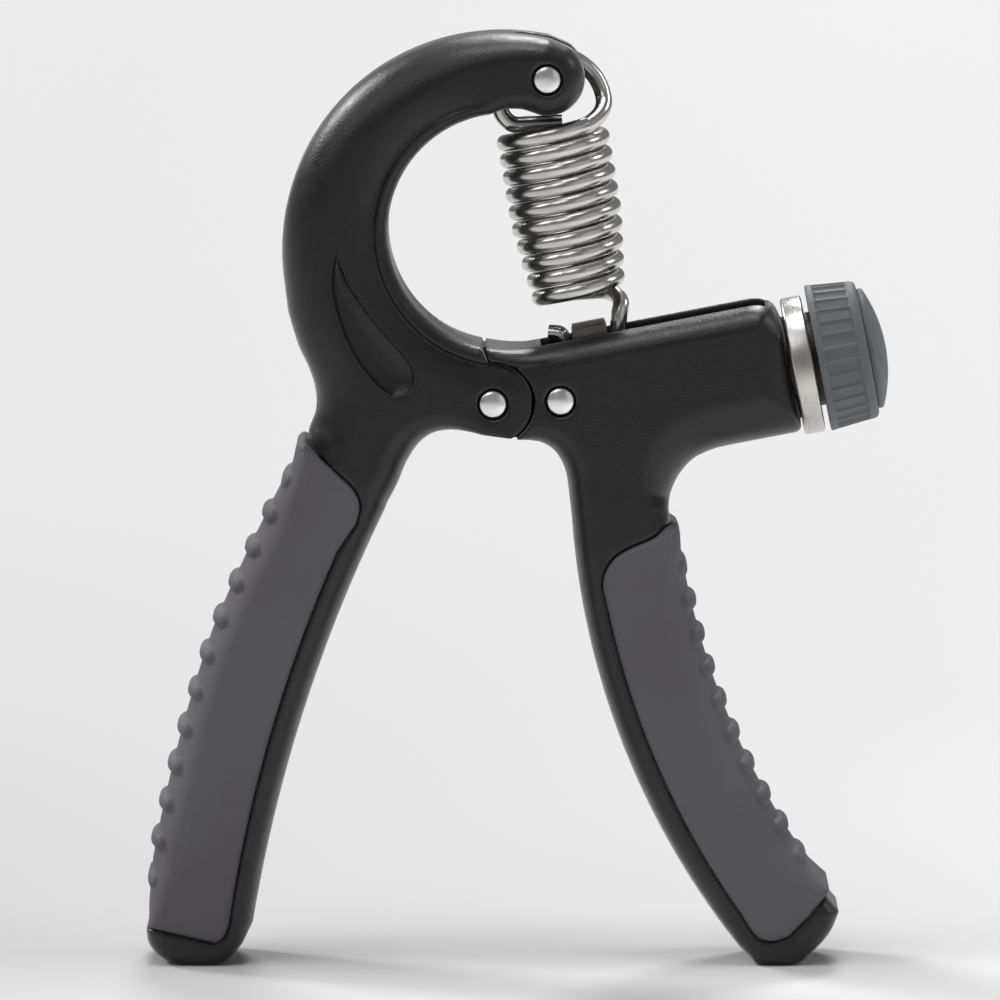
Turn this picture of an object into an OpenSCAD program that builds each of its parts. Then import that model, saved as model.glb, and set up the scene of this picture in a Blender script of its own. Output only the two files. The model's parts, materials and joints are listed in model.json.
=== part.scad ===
// Adjustable hand grip strengthener: two hinged levers, an extension spring
// and a screw that moves the spring's lower anchor along a slotted barrel.
//
// X runs to the right and Z up in the front view, Y runs front to back.
// Both feet stand on z = 0, and the origin is at the middle of the base.

/* [Levers] */
// Front-to-back depth of both levers
lever_depth = 21.6; // [20.6:0.1:22.4]
// Height of the hinge rivet above the surface that the feet stand on
pivot_height = 93; // [92:0.25:94]
// Gap between the two levers round the knuckle
joint_gap = 0.3; // [0.2:0.05:0.4]
// Radius of the left lever's knuckle
knuckle_r = 6.4; // [6.2:0.05:6.6]

/* [Hook arm] */
// Radius of the arm's outer edge
hook_outer_r = 35.9; // [35.4:0.1:36.4]
// Radius of the arm's inner edge
hook_inner_r = 19.4; // [18.6:0.1:20.2]
// Radius of the forked tip
tip_r = 6.2; // [5.8:0.1:6.6]
// Width of the fork that takes the spring's top loop
fork_gap = 4.2; // [3.8:0.1:5]
// Depth of the curved thumb recess in each side
recess_depth = 1.2; // [0.6:0.1:1.6]

/* [Grips] */
// Rubber thickness on the outer side of each leg
rubber_t = 2.6; // [2.2:0.1:3]
// Rubber thickness on the front and back of each leg
rubber_side_t = 2.3; // [1.8:0.1:2.8]
// How far the rubber stands proud of the lever's front and back
grip_proud = 0.5; // [0.3:0.05:0.8]
// Height of the ridges on the outer side of the grips
ridge_h = 0.85; // [0.4:0.05:1]
// Seam between rubber and plastic
seam = 0.15; // [0.1:0.05:0.2]

/* [Rivets and tongue] */
// Shank diameter of the three rivets
rivet_d = 4; // [3.6:0.1:4.4]
// Diameter of the rivets' heads
rivet_head_d = 4.8; // [4.6:0.1:5]
// Diameter of the recess round each head
rivet_recess_d = 5.3; // [5.1:0.1:5.6]
// Depth of the recess round each head
rivet_recess = 1.1; // [0.8:0.1:1.4]
// Radial play of the hinge rivet in the tongue and of the screw in its bush
running_fit = 0.05; // [0.03:0.01:0.08]
// Thickness of the steel tongue between the levers
tongue_t = 4; // [3:0.1:5]
// Radius of the tongue's end at the hinge rivet
tongue_r = 5.1; // [4.6:0.1:5.3]
// Radius of the tongue's end at its own rivet
tongue_end_r = 3.4; // [3:0.1:3.5]
// Play at each side of the tongue
tongue_play = 0.15; // [0.1:0.05:0.25]

/* [Barrel] */
// Upward tilt of the barrel
barrel_tilt = 10.9; // [10:0.1:11.8]
// Distance from the tongue's rivet to the barrel's end face
barrel_l = 38.5; // [38:0.1:39.5]
// Height of the slot's lips above the screw
lip_h = 11.4; // [10.8:0.1:12]
// Depth of the barrel's underside below the screw
barrel_drop = 11.05; // [10.6:0.05:11.6]
// Width of the slot in the top
slot_w = 11.8; // [11.6:0.1:12.4]
// Diameter of the round channel in which the nut runs
channel_d = 12.6; // [12.4:0.1:13]
// Thickness of the wall at the channel's outer end
end_wall = 2.1; // [1.6:0.1:2.6]

/* [Collar and bush] */
// Outer diameter of the metal collar
collar_d = 22.8; // [22:0.1:23.4]
// Inner diameter of the metal collar
collar_bore = 16.9; // [14:0.1:18]
// Thickness of the metal collar
collar_t = 3.5; // [3:0.1:4]
// Gap between the barrel's end and the collar
collar_gap = 0.3; // [0.2:0.05:0.6]
// How far the collar's centre lies below the screw
collar_drop = 0.65; // [0.4:0.05:0.9]
// Outer diameter of the bush that carries the screw
bush_d = 9; // [8.4:0.1:10]
// Diameter of the bush's flange
bush_flange_d = 11.2; // [10.6:0.1:11.8]
// Thickness of the bush's flange
bush_flange_t = 1; // [0.8:0.1:1.2]

/* [Screw] */
// Outer diameter of the lead screw
screw_d = 6; // [5.6:0.1:6.2]
// Pitch of the lead screw's thread
screw_pitch = 2; // [1.5:0.25:2.5]
// Depth of the thread
thread_depth = 0.6; // [0.4:0.05:0.7]
// Distance from the tongue's rivet to the screw's inner end
screw_start = 5.6; // [5.5:0.1:5.8]
// Thickness of the retaining clip and of its groove
clip_t = 0.8; // [0.6:0.05:0.9]
// Outer diameter of the retaining clip
clip_d = 10; // [9:0.1:11]
// Thickness of the washer between bush and knob
washer_t = 0.8; // [0.6:0.1:1]
// Outer diameter of that washer
washer_d = 15.6; // [13:0.1:17]
// Running gap at the faces of clip and washer
face_gap = 0.1; // [0.05:0.05:0.15]

/* [Knob] */
// Diameter of the knob at its inner edge
knob_d = 24.4; // [23.6:0.1:25]
// Diameter of the knob at its outer edge
knob_tip_d = 22.8; // [22.4:0.1:23.2]
// Length of the ribbed sleeve
knob_l = 8.3; // [8:0.1:9]
// Diameter of the knob's plastic core
hub_d = 20.4; // [19.6:0.1:20.8]
// Number of grooves round the knob
groove_count = 32; // [20:1:36]
// Depth of the grooves
groove_depth = 0.6; // [0.3:0.05:0.8]
// Width of each groove
groove_w = 1.2; // [0.8:0.1:1.4]
// Width of the plain band at the knob's inner edge
groove_start = 1.3; // [1:0.1:1.8]
// Length of the grooves
groove_l = 5.6; // [4.8:0.1:6]
// Diameter of the end cap
cap_d = 20; // [19:0.1:21]
// Height of the end cap's straight rim
cap_rim = 0.9; // [0.6:0.1:1.2]
// Height of the end cap's dome
cap_dome = 2.2; // [1.6:0.1:2.6]
// Distance across the flats of the nut under the cap
nut_flats = 10; // [9:0.1:10.5]
// Thickness of that nut
nut_t = 2.6; // [2:0.1:3]

/* [Slider] */
// Travel of the spring anchor along the barrel
travel = 22; // [20:0.5:22]
// Radius of the anchor bar's round underside
bar_r = 2.95; // [2.6:0.05:3]
// Height of the bar's flat top above its centre
bar_top = 1.3; // [1:0.1:1.6]
// Height of the bar's centre above the screw
bar_h = 11.5; // [11.3:0.1:11.8]
// Distance from the tongue's rivet to the bar at its innermost place
bar_s = 7.1; // [7:0.1:7.3]
// Length of the nut along the screw
slider_nut_l = 6; // [5.5:0.1:6]
// Thickness of the bracket's cheeks
cheek_t = 1.7; // [1.4:0.1:1.9]
// Diameter of the pin that holds the bracket on the nut
bracket_pin_d = 1.6; // [1.2:0.1:1.7]

/* [Spring] */
// Wire diameter
wire_d = 2.64; // [2.4:0.02:2.7]
// Outer diameter of the coil
coil_d = 18.5; // [18:0.1:19]
// Outer diameter of the coil's last turn
coil_end_d = 15.2; // [14.6:0.1:16]
// Distance from one turn to the next
coil_pitch = 2.9; // [2.8:0.02:3]
// Number of turns
coil_turns = 10; // [9:1:10]
// Distance from the top rivet to the first turn
coil_start = 8.4; // [8.2:0.1:8.6]
// Centre-line radius of the loop round the top rivet
loop_r = 8.6; // [8.2:0.1:9]
// Centre-line radius of the hook round the anchor bar
hook_r = 4.7; // [4.5:0.05:4.75]

/* [Hidden] */

$fn = 64;
past = 1;              // how far a cut runs past the surface that it opens
fixed_fit = 0.02;      // radial gap of what is pressed or riveted in place
half_depth = lever_depth/2;
grip_half = half_depth + grip_proud;
core_half = grip_half - rubber_side_t;

// ---- places in the front view, as [x, z] ----
pivot = [-3.9, pivot_height];
hook_centre = pivot + [1.2, 24.8];
hook_inner_centre = pivot + [2.2, 28.3];
top_pin = pivot + [8.9, 53.3];
tongue_pin = pivot + [11.1, 0.5];
screw_origin = pivot + [11.1, -1.5];

// The legs are arcs about these centres, with radii to the grips' outer side.
left_centre = [193.1, -29.3];
left_r = 256.45;
right_centre = [149, 87.5];
right_r = 123.4;
left_inner_centre = [202.5, -34.1];
left_inner_r = 249.4;
right_inner_centre = [138, 82.8];
right_inner_r = 129.2;
ridge_edge = 7;        // width of the rounding on the grips' outer side

// ---- places along the screw, measured from the tongue's rivet ----
wall_s = barrel_l - end_wall;
collar_s = barrel_l + collar_gap;
face_s = collar_s + collar_t;
washer_s = face_s + face_gap;
knob_s = washer_s + washer_t;
knob_end = knob_s + knob_l;
nut_s = knob_end - nut_t - 0.7;
flange_s = wall_s - bush_flange_t;
clip_s = flange_s - face_gap - clip_t;
slider_s = screw_start + 0.2;
screw_r = screw_d/2;
channel_r = channel_d/2;
nut_r = channel_r - 0.15;
bracket_half = slot_w/2 - 0.3;
nut_half = bracket_half - cheek_t - fixed_fit;
nut_top = bar_h - hook_r - wire_d/2 + (hook_r - wire_d/2 - bar_r) - 0.4;

// ---- curves ----
function polar(r, a) = r*[cos(a), sin(a)];
function mix(a, b, t) = a + (b - a)*t;
function unit(v) = v/norm(v);

// Outline points are [x, z, width of the edge rounding, height of a ridge].
function arc(centre, r, from, to, steps, edge = 1, edge_to = undef) =
    [for (i = [0:steps])
        let (p = centre + polar(r, mix(from, to, i/steps)),
             e = mix(edge, is_undef(edge_to) ? edge : edge_to, i/steps))
        [p.x, p.y, e, 0]];

// A smooth curve through the knots, of as many numbers each as they hold.
function curve(k, steps) =
    [for (i = [0:len(k) - 2], j = [0:steps - 1])
        let (t = j/steps, a = k[max(i - 1, 0)], b = k[i], c = k[i + 1], d = k[min(i + 2, len(k) - 1)])
        0.5*(2*b + (c - a)*t + (2*a - 5*b + 4*c - d)*t*t + (3*b - a - 3*c + d)*t*t*t)];

// A knot on the barrel: s along the screw and h above it.
function on_barrel(s, h, edge = 1) =
    let (p = screw_origin + s*polar(1, barrel_tilt) + h*polar(1, barrel_tilt + 90))
    [p.x, p.y, edge, 0];

function flat(points) = [for (p = points) [p.x, p.y]];

// Outward normal of a closed outline that runs anticlockwise in the front view.
function normal_at(p, i) =
    let (n = len(p), d = p[(i + 1) % n] - p[(i + n - 1) % n])
    unit([d.y, -d.x]);

function grown(p, by) = [for (i = [0:len(p) - 1]) [p[i].x, p[i].y] + by*normal_at(p, i)];

// ---- a moulded body: an outline with elliptically rounded front and back edges ----
function pillow_ring(p, angle, y) =
    [for (i = [0:len(p) - 1])
        let (q = [p[i].x, p[i].y] - (p[i][2]*(1 - cos(angle)) - p[i][3]*cos(angle))*normal_at(p, i))
        [q.x, y, q.y]];

// Splits a flat outline into triangles. Each step cuts off one corner that holds no other
// point; rest lists the numbers of the points that are still there.
function turn_at(a, b, c) = (b.x - a.x)*(c.y - a.y) - (b.y - a.y)*(c.x - a.x);
function corner(rest, i) = let (n = len(rest)) [rest[(i + n - 1) % n], rest[i], rest[(i + 1) % n]];
function is_free(p, rest, c) =
    turn_at(p[c[0]], p[c[1]], p[c[2]]) > 1e-6 &&
    len([for (k = rest)
        if (k != c[0] && k != c[1] && k != c[2] && turn_at(p[c[0]], p[c[1]], p[k]) >= 0
            && turn_at(p[c[1]], p[c[2]], p[k]) >= 0 && turn_at(p[c[2]], p[c[0]], p[k]) >= 0) k]) == 0;
function next_free(p, rest, i) =
    is_free(p, rest, corner(rest, i)) ? i : next_free(p, rest, (i + 1) % len(rest));
function triangles(p, rest, from = 0) =
    len(rest) == 3 ? [rest] :
    let (i = next_free(p, rest, from % len(rest)))
    concat([corner(rest, i)], triangles(p, [for (k = [0:len(rest) - 1]) if (k != i) rest[k]], i + 1));

module pillow(outline, half, round_depth, steps = 3) {
    n = len(outline);
    front = [for (k = [0:steps])
        let (a = 90*(1 - k/steps)) pillow_ring(outline, a, -(half - round_depth*(1 - sin(a))))];
    rings = concat(front, [for (k = [steps:-1:0]) [for (p = front[k]) [p.x, -p.y, p.z]]]);
    last = len(rings) - 1;
    cap = triangles([for (p = front[0]) [p.x, p.z]], [for (i = [0:n - 1]) i]);
    polyhedron(
        points = [for (r = rings) each r],
        faces = concat(
            [for (t = cap) [t[2], t[1], t[0]]],
            [for (k = [0:last - 1], i = [0:n - 1])
                let (a = k*n + i, b = k*n + (i + 1) % n) each [[a, b, b + n], [a, b + n, a + n]]],
            [for (t = cap) [for (i = t) last*n + i]]),
        convexity = 8);
}

module front_prism(points, depth) {
    rotate([90, 0, 0]) linear_extrude(depth, center = true) polygon(flat(points));
}

module cross_rod(at, r, length) {
    translate([at.x, 0, at.y]) rotate([90, 0, 0]) cylinder(r = r, h = length, center = true);
}

// Both sides of a mirrored pair, front and back.
module both_sides() {
    children();
    mirror([0, 1, 0]) children();
}

// Puts local +Z along the screw, starting at s, with local -X up.
module along_screw(s = 0, rise = 0) {
    translate([screw_origin.x, 0, screw_origin.y]) rotate([0, 90 - barrel_tilt, 0])
        translate([-rise, 0, s]) children();
}

module screw_box(s0, s1, h0, h1, half_y) {
    along_screw() translate([-h1, -half_y, s0]) cube([h1 - h0, 2*half_y, s1 - s0]);
}

module floor_cut() {
    translate([-80, -half_depth - past, -10]) cube([160, lever_depth + 2*past, 10]);
}

// ---- outlines ----
left_crotch = [[-21.3, 76.2, 3, 0], [-19.6, 79.4, 3, 0], [-18.2, 82.8, 3, 0], [-16.3, 85.8, 3, 0]];
left_foot = [[-61.1, 5.7, 1.5, 0], [-60.6, 3, 2, 0], [-58.6, 0.9, 1.5, 0], [-55.8, -0.4, 1, 0],
             [-50.4, -0.5, 1, 0], [-47.6, 0.9, 1.5, 0], [-45.2, 3.8, 2, 0]];
right_foot = [[38.8, 0.9, 1.5, 0], [40.2, -0.4, 1, 0], [45.6, -0.4, 1, 0], [48.6, 1.9, 1.5, 0],
              [51.6, 5.2, 2, 0], [53.3, 9.2, 1, 0]];

hook_outline = concat(
    arc(top_pin, tip_r, -100, 55, 10, 3),
    arc(hook_centre, hook_outer_r, 77, 98, 4, 3.4, 7.5),
    arc(hook_centre, hook_outer_r, 102, 188, 17, 7.5),
    curve([[-37.6, 107.8, 7.5, 0], [-35.9, 102.2, 7.5, 0], [-34, 98, 7.5, 0], [-33, 94.4, 7, 0],
           [-33.1, 91, 6, 0], [-34.3, 87.8, 3, 0]], 2),
    arc(left_centre, left_r - 0.4, 153.2, 171, 14, 2),
    curve(left_foot, 2),
    arc(left_inner_centre, left_inner_r, 170.6, 154, 12, 3),
    curve(concat(left_crotch, [for (q = [[-10.1, -5.2], [-7.3, -4.5], [-4.4, -4.7], [-2, -5.7]])
        [pivot.x + q.x, pivot.y + q.y, 2.5 + q.x/5, 0]]), 2),
    arc(pivot, knuckle_r, -100, 97, 14, 0.6),
    arc(hook_inner_centre, hook_inner_r, 258, 98, 24, 0.6, 2.8),
    curve([[top_pin.x - 7, top_pin.y - 4.9, 2.8, 0], [top_pin.x - 4.4, top_pin.y - 5, 2.8, 0],
           [top_pin.x - 2.4, top_pin.y - 5.6, 2.8, 0]], 2));

barrel_outline = concat(
    [[pivot.x - 1.75 + joint_gap, pivot.y + 9.2, 0.6, 0],
     [pivot.x - 0.6 + joint_gap, pivot.y + 5.9, 0.6, 0], [pivot.x + 2.4, pivot.y - 4, 0.6, 0],
     [pivot.x + 3.3, pivot.y - 5.9, 0.6, 0]],
    curve([for (q = [[5.6, -6.1, 2], [8.2, -6.7, 3], [10.5, -8.5, 3], [12, -11.6, 3], [12.6, -15.6, 3]])
        [pivot.x + q.x, pivot.y + q.y, q.z, 0]], 2),
    arc(right_inner_centre, right_inner_r, 184, 218.4, 14, 3),
    curve(right_foot, 2),
    arc(right_centre, right_r + 0.4, 215.5, 187.7, 14, 2),
    curve([[25, 75.6, 2.5, 0], [25.5, 78.1, 5, 0], [27, 81.1, 7, 0], [29.6, 83.7, 7.5, 0],
           on_barrel(24.6, -barrel_drop, 7.5)], 2),
    [on_barrel(27, -barrel_drop, 7.5), on_barrel(32, -barrel_drop, 7.5),
     on_barrel(barrel_l + 2, -barrel_drop, 7.5)],
    [on_barrel(barrel_l + 2, 6, 3.5), on_barrel(barrel_l + 0.6, lip_h - 3.6, 3.5)],
    curve([on_barrel(barrel_l - 0.1, lip_h - 2.4, 3.5), on_barrel(barrel_l - 1.4, lip_h - 0.9, 3.5),
           on_barrel(barrel_l - 3.6, lip_h - 0.1, 3.5), on_barrel(barrel_l - 7, lip_h, 3.5)], 2),
    [on_barrel(24, lip_h, 3.5), on_barrel(12, lip_h, 3.5)],
    curve([on_barrel(3, lip_h, 3.5), [pivot.x + 8.2, pivot.y + 9.5, 3.2, 0],
           [pivot.x + 5.4, pivot.y + 8.9, 3, 0], [pivot.x + 2.2, pivot.y + 8.8, 2.8, 0]], 2));

// Ridges: a smooth bump at the middle of each step along the arc. The edge rounding grows
// from the arc's ends, where the grip is narrow, to its full width.
function ridges(centre, r, from, to, count) =
    [for (i = [0:count - 1], u = [0, 0.2, 0.35, 0.5, 0.65, 0.8])
        let (at = i + u,
             p = centre + polar(r, mix(from, to, at/count)),
             edge = min(ridge_edge, 2.6 + 2.4*min(at, count - at)))
        [p.x, p.y, edge, ridge_h*max(0, (1 + cos(180*(u - 0.5)/0.3))/2)]];

left_grip_outline = concat(
    [[-35.2, 88.5, 0.8, 0], [-36.9, 85.2, 1.6, 0]],
    ridges(left_centre, left_r, 154, 171.1, 12),
    [[-60.8, 6.3, 1, 0], [-49.9, 3.8, 1, 0], [-47.9, 5, 1, 0]],
    arc(left_centre, left_r - 12.4, 171.3, 156.2, 10, 1),
    curve([[-26.9, 73.4, 1, 0], [-26.2, 76.3, 1, 0], [-27, 78.9, 1, 0], [-29.2, 81.4, 1, 0],
           [-32.2, 84.3, 1, 0]], 2));

right_grip_outline = concat(
    curve([[38.6, 6, 1, 0], [40, 4.6, 1, 0], [42.2, 4.1, 1, 0], [45.2, 5, 1, 0]], 2),
    [[48.4, 8.4, 1, 0], [51.7, 12.6, 1, 0]],
    ridges(right_centre, right_r, 215.6, 188.9, 10),
    [[27.1, 72, 1.4, 0], [26.2, 75, 0.8, 0]],
    curve([[24.4, 73.2, 0.8, 0], [22.4, 71, 1, 0], [18.2, 69.1, 1, 0], [15.9, 67.5, 1, 0],
           [14.4, 65, 1, 0], [14.1, 62.4, 1, 0]], 2),
    arc(right_centre, right_r + 13.6, 192.4, 215.2, 12, 1));

// Each leg's core inside the rubber, running on past both ends of the grip.
function left_core(extra) = concat(
    flat(arc(left_centre, left_r - rubber_t + extra, 152, 172.6, 16)), [[-40, -4], [-5, 30], [-5, 95]]);
function right_core(extra) = concat(
    flat(arc(right_centre, right_r + rubber_t - extra, 217.5, 185.6, 16)), [[10, 78], [-5, 40], [30, -6]]);

thumb_recess = concat(
    curve([[-29.8, 117.2], [-30.1, 111], [-28.4, 104.6], [-25.6, 99.4], [-22, 95.2], [-20.1, 94.2]], 3),
    curve([[-18.2, 94.6], [-17.2, 96.6], [-17.8, 99.4], [-20.6, 103.2], [-24.2, 107.6], [-27.8, 112.6]], 3));

// What a grip takes out of a leg: all of its outline but the core.
module grip_seat(outline, core) {
    difference() {
        front_prism(grown(outline, seam), lever_depth + 2*past);
        front_prism(core, 2*core_half);
    }
}

module rivet(at) {
    shank_half = half_depth - rivet_recess;
    cross_rod(at, rivet_d/2, 2*shank_half);
    both_sides() translate([at.x, -shank_half, at.y]) rotate([90, 0, 0])
        rotate_extrude() polygon(concat([[0, 0], [rivet_head_d/2, 0], [rivet_head_d/2, 0.4]],
            [for (a = [15:15:90]) [rivet_head_d/2*cos(a), 0.4 + (rivet_recess - 0.2)*sin(a)]]));
}

module rivet_hole(at) {
    cross_rod(at, rivet_d/2 + fixed_fit, lever_depth + 2*past);
    both_sides() translate([at.x, -half_depth - past, at.y]) rotate([-90, 0, 0])
        cylinder(d = rivet_recess_d, h = rivet_recess + past);
}

// The tongue's outline, or the hollow for it with some extra all round.
module tongue_outline(extra) {
    reach = tongue_pin - pivot;
    lean = atan2(reach.y, reach.x);
    spread = acos((tongue_r - tongue_end_r)/norm(reach));
    polygon(concat(
        flat(arc(pivot, tongue_r + extra, lean + spread, lean + 360 - spread, 24)),
        flat(arc(tongue_pin, tongue_end_r + extra, lean - spread, lean + spread, 16))));
}

module tongue_prism(extra, thickness) {
    rotate([90, 0, 0]) linear_extrude(thickness, center = true) tongue_outline(extra);
}

// ---- left lever ----
module hook_frame() {
    fork = [[-10, -7], [-10.1, -1.5], [-5.4, 3.5], [-5, 9], [9, 9], [9, -8]];
    color([0.15, 0.15, 0.155]) difference() {
        pillow(hook_outline, half_depth, half_depth - 2.6);
        floor_cut();
        // fork for the spring's loop
        front_prism([for (q = fork) top_pin + q], fork_gap);
        rivet_hole(top_pin);
        rivet_hole(pivot);
        // slot for the tongue, open to the right and below
        front_prism(concat(flat(arc(pivot, tongue_r + joint_gap, 98, 236, 18)),
            [for (q = [[0, -6.7], [1, -9], [9, -9], [9, 6.1], [0, 6.1]]) pivot + q]),
            tongue_t + 2*tongue_play);
        grip_seat(left_grip_outline, left_core(0));
        both_sides() translate([0, -half_depth, 0]) front_prism(thumb_recess, 2*recess_depth);
    }
}

module left_grip() {
    color([0.34, 0.34, 0.36]) difference() {
        pillow(left_grip_outline, grip_half, grip_half - 2);
        front_prism(left_core(seam), 2*(core_half + seam));
    }
}

module top_rivet() color([0.8, 0.8, 0.82]) rivet(top_pin);
module pivot_rivet() color([0.8, 0.8, 0.82]) rivet(pivot);

// ---- right lever ----
module barrel_frame() {
    color([0.15, 0.15, 0.155]) difference() {
        union() {
            difference() {
                pillow(barrel_outline, half_depth, half_depth - 2.6);
                // end face of the barrel, square to the screw
                screw_box(barrel_l, barrel_l + 8, -20, 20, half_depth + past);
            }
            // spigot that carries the collar
            along_screw(barrel_l - 0.5, -collar_drop)
                cylinder(r = collar_bore/2 - fixed_fit, h = face_s - barrel_l + 0.5);
        }
        floor_cut();
        cross_rod(pivot, knuckle_r + joint_gap, lever_depth + 2*past);
        tongue_prism(tongue_play, tongue_t + 2*tongue_play);
        rivet_hole(tongue_pin);
        // channel for the nut, with the slot above it
        along_screw(screw_start - 0.4) cylinder(r = channel_r, h = wall_s - screw_start + 0.4);
        screw_box(screw_start - 0.4, wall_s, 0, lip_h + 6, slot_w/2);
        // shallow start of the slot, where the spring's end lies
        screw_box(-1.2, screw_start, 6, lip_h + 6, slot_w/2);
        along_screw(wall_s - past) cylinder(d = bush_d + 2*fixed_fit, h = face_s - wall_s + 2*past);
        grip_seat(right_grip_outline, right_core(0));
    }
}

module right_grip() {
    color([0.34, 0.34, 0.36]) difference() {
        pillow(right_grip_outline, grip_half, grip_half - 2);
        front_prism(right_core(seam), 2*(core_half + seam));
    }
}

module hinge_tongue() {
    color([0.6, 0.6, 0.62]) difference() {
        tongue_prism(0, tongue_t);
        cross_rod(pivot, rivet_d/2 + running_fit, tongue_t + past);
        cross_rod(tongue_pin, rivet_d/2 + fixed_fit, tongue_t + past);
    }
}

module tongue_rivet() color([0.8, 0.8, 0.82]) rivet(tongue_pin);

module collar_ring() {
    color([0.78, 0.77, 0.76]) along_screw(collar_s, -collar_drop) difference() {
        chamfer = 0.3;
        rotate_extrude() polygon([[0, 0], [collar_d/2 - chamfer, 0], [collar_d/2, chamfer],
            [collar_d/2, collar_t - chamfer], [collar_d/2 - chamfer, collar_t], [0, collar_t]]);
        translate([0, 0, -past]) cylinder(d = collar_bore, h = collar_t + 2*past);
    }
}

module end_bush() {
    color([0.75, 0.6, 0.35]) along_screw() difference() {
        union() {
            translate([0, 0, flange_s]) cylinder(d = bush_flange_d, h = bush_flange_t);
            translate([0, 0, flange_s]) cylinder(d = bush_d, h = face_s - flange_s);
        }
        translate([0, 0, flange_s - past])
            cylinder(r = screw_r + running_fit, h = face_s - flange_s + 2*past);
    }
}

// ---- adjuster: everything that turns with the knob ----
module lead_screw() {
    threaded_end = clip_s - 0.6;
    turns = floor((threaded_end - screw_start)/screw_pitch);
    color([0.62, 0.62, 0.64]) along_screw() difference() {
        translate([0, 0, screw_start]) cylinder(r = screw_r, h = nut_s + nut_t - screw_start);
        // thread drawn as one groove to each turn
        for (i = [0:turns - 1])
            translate([0, 0, screw_start + (i + 0.5)*screw_pitch]) rotate_extrude()
                polygon([[screw_r - thread_depth, 0], [screw_r + past, -0.3*screw_pitch - past/3],
                    [screw_r + past, 0.3*screw_pitch + past/3]]);
        // groove for the clip
        translate([0, 0, clip_s]) difference() {
            cylinder(r = screw_r + past, h = clip_t);
            translate([0, 0, -past]) cylinder(r = screw_r - 0.5, h = clip_t + 2*past);
        }
    }
}

module retaining_clip() {
    inner_r = screw_r - 0.5 + fixed_fit;
    color([0.5, 0.5, 0.52]) along_screw(clip_s + 0.02) difference() {
        cylinder(d = clip_d, h = clip_t - 0.04);
        translate([0, 0, -past]) cylinder(r = inner_r, h = clip_t + 2*past);
        translate([0, -inner_r*0.8, -past]) cube([clip_d, 2*inner_r*0.8, clip_t + 2*past]);
    }
}

module thrust_washer() {
    color([0.2, 0.2, 0.2]) along_screw(washer_s) difference() {
        cylinder(d = washer_d, h = washer_t);
        translate([0, 0, -past]) cylinder(r = screw_r + fixed_fit, h = washer_t + 2*past);
    }
}

plug_d = cap_d - 4;    // the end cap's plug, a snug fit in the core
module knob_hub() {
    color([0.12, 0.12, 0.12]) along_screw(knob_s) difference() {
        cylinder(d = hub_d, h = knob_l);
        translate([0, 0, -past]) cylinder(r = screw_r + fixed_fit, h = knob_l + 2*past);
        translate([0, 0, nut_s - knob_s]) cylinder(d = plug_d + 2*fixed_fit, h = knob_l);
    }
}

module knob_sleeve() {
    inner_d = hub_d + 2*fixed_fit;
    tip_round = 0.7;
    color([0.36, 0.38, 0.39]) along_screw(knob_s) difference() {
        rotate_extrude() polygon([[inner_d/2, 0], [knob_d/2 - 0.3, 0], [knob_d/2, 0.3],
            [knob_tip_d/2, knob_l - tip_round], [knob_tip_d/2 - 0.25, knob_l - 0.25],
            [knob_tip_d/2 - tip_round, knob_l], [inner_d/2, knob_l]]);
        for (i = [0:groove_count - 1]) rotate([0, 0, (i + 0.5)*360/groove_count])
            translate([0, 0, groove_start]) rotate([0, -atan2((knob_d - knob_tip_d)/2, knob_l), 0])
                translate([knob_d/2 - groove_depth - groove_start*(knob_d - knob_tip_d)/knob_l/2,
                    -groove_w/2, 0]) cube([groove_depth + past, groove_w, groove_l]);
    }
}

module knob_nut() {
    color([0.62, 0.62, 0.64]) along_screw(nut_s) difference() {
        cylinder(d = nut_flats/cos(30), h = nut_t, $fn = 6);
        translate([0, 0, -past]) cylinder(r = screw_r + fixed_fit, h = nut_t + 2*past);
    }
}

module knob_cap() {
    sphere_r = ((cap_d/2)^2 + cap_dome^2)/(2*cap_dome);
    cap_angle = asin(cap_d/2/sphere_r);
    color([0.36, 0.38, 0.39]) along_screw(knob_end) difference() {
        rotate_extrude() polygon(concat(
            [[0, -1.4], [plug_d/2, -1.4], [plug_d/2, 0], [cap_d/2, 0]],
            [for (i = [0:8]) let (a = cap_angle*(1 - i/8))
                [sphere_r*sin(a), cap_rim + cap_dome - sphere_r*(1 - cos(a))]]));
        // room for the nut and the screw's end
        translate([0, 0, -past - 1.4]) cylinder(d = nut_flats/cos(30) + 0.8, h = past + 1.6);
    }
}

// ---- slider: what the screw moves along the barrel ----
cheek_foot = -2.6;     // height of the cheeks' lower edge above the screw
module slider_nut() {
    color([0.72, 0.6, 0.36]) difference() {
        along_screw(slider_s) cylinder(r = nut_r, h = slider_nut_l);
        screw_box(slider_s - past, slider_s + slider_nut_l + past, nut_top, nut_r + past, nut_r + past);
        both_sides() along_screw() translate([-nut_r - past, nut_half, slider_s - past])
            cube([nut_r + past - cheek_foot, nut_r, slider_nut_l + 2*past]);
        along_screw(slider_s - past)
            cylinder(r = screw_r + running_fit, h = slider_nut_l + 2*past);
        slider_pin_rod(bracket_pin_d/2 + fixed_fit, 2*bracket_half);
    }
}

pin_h = (screw_r + nut_top)/2;
module slider_pin_rod(r, length) {
    at = on_barrel(slider_s + slider_nut_l/2, pin_h);
    cross_rod(at, r, length);
}

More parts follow.
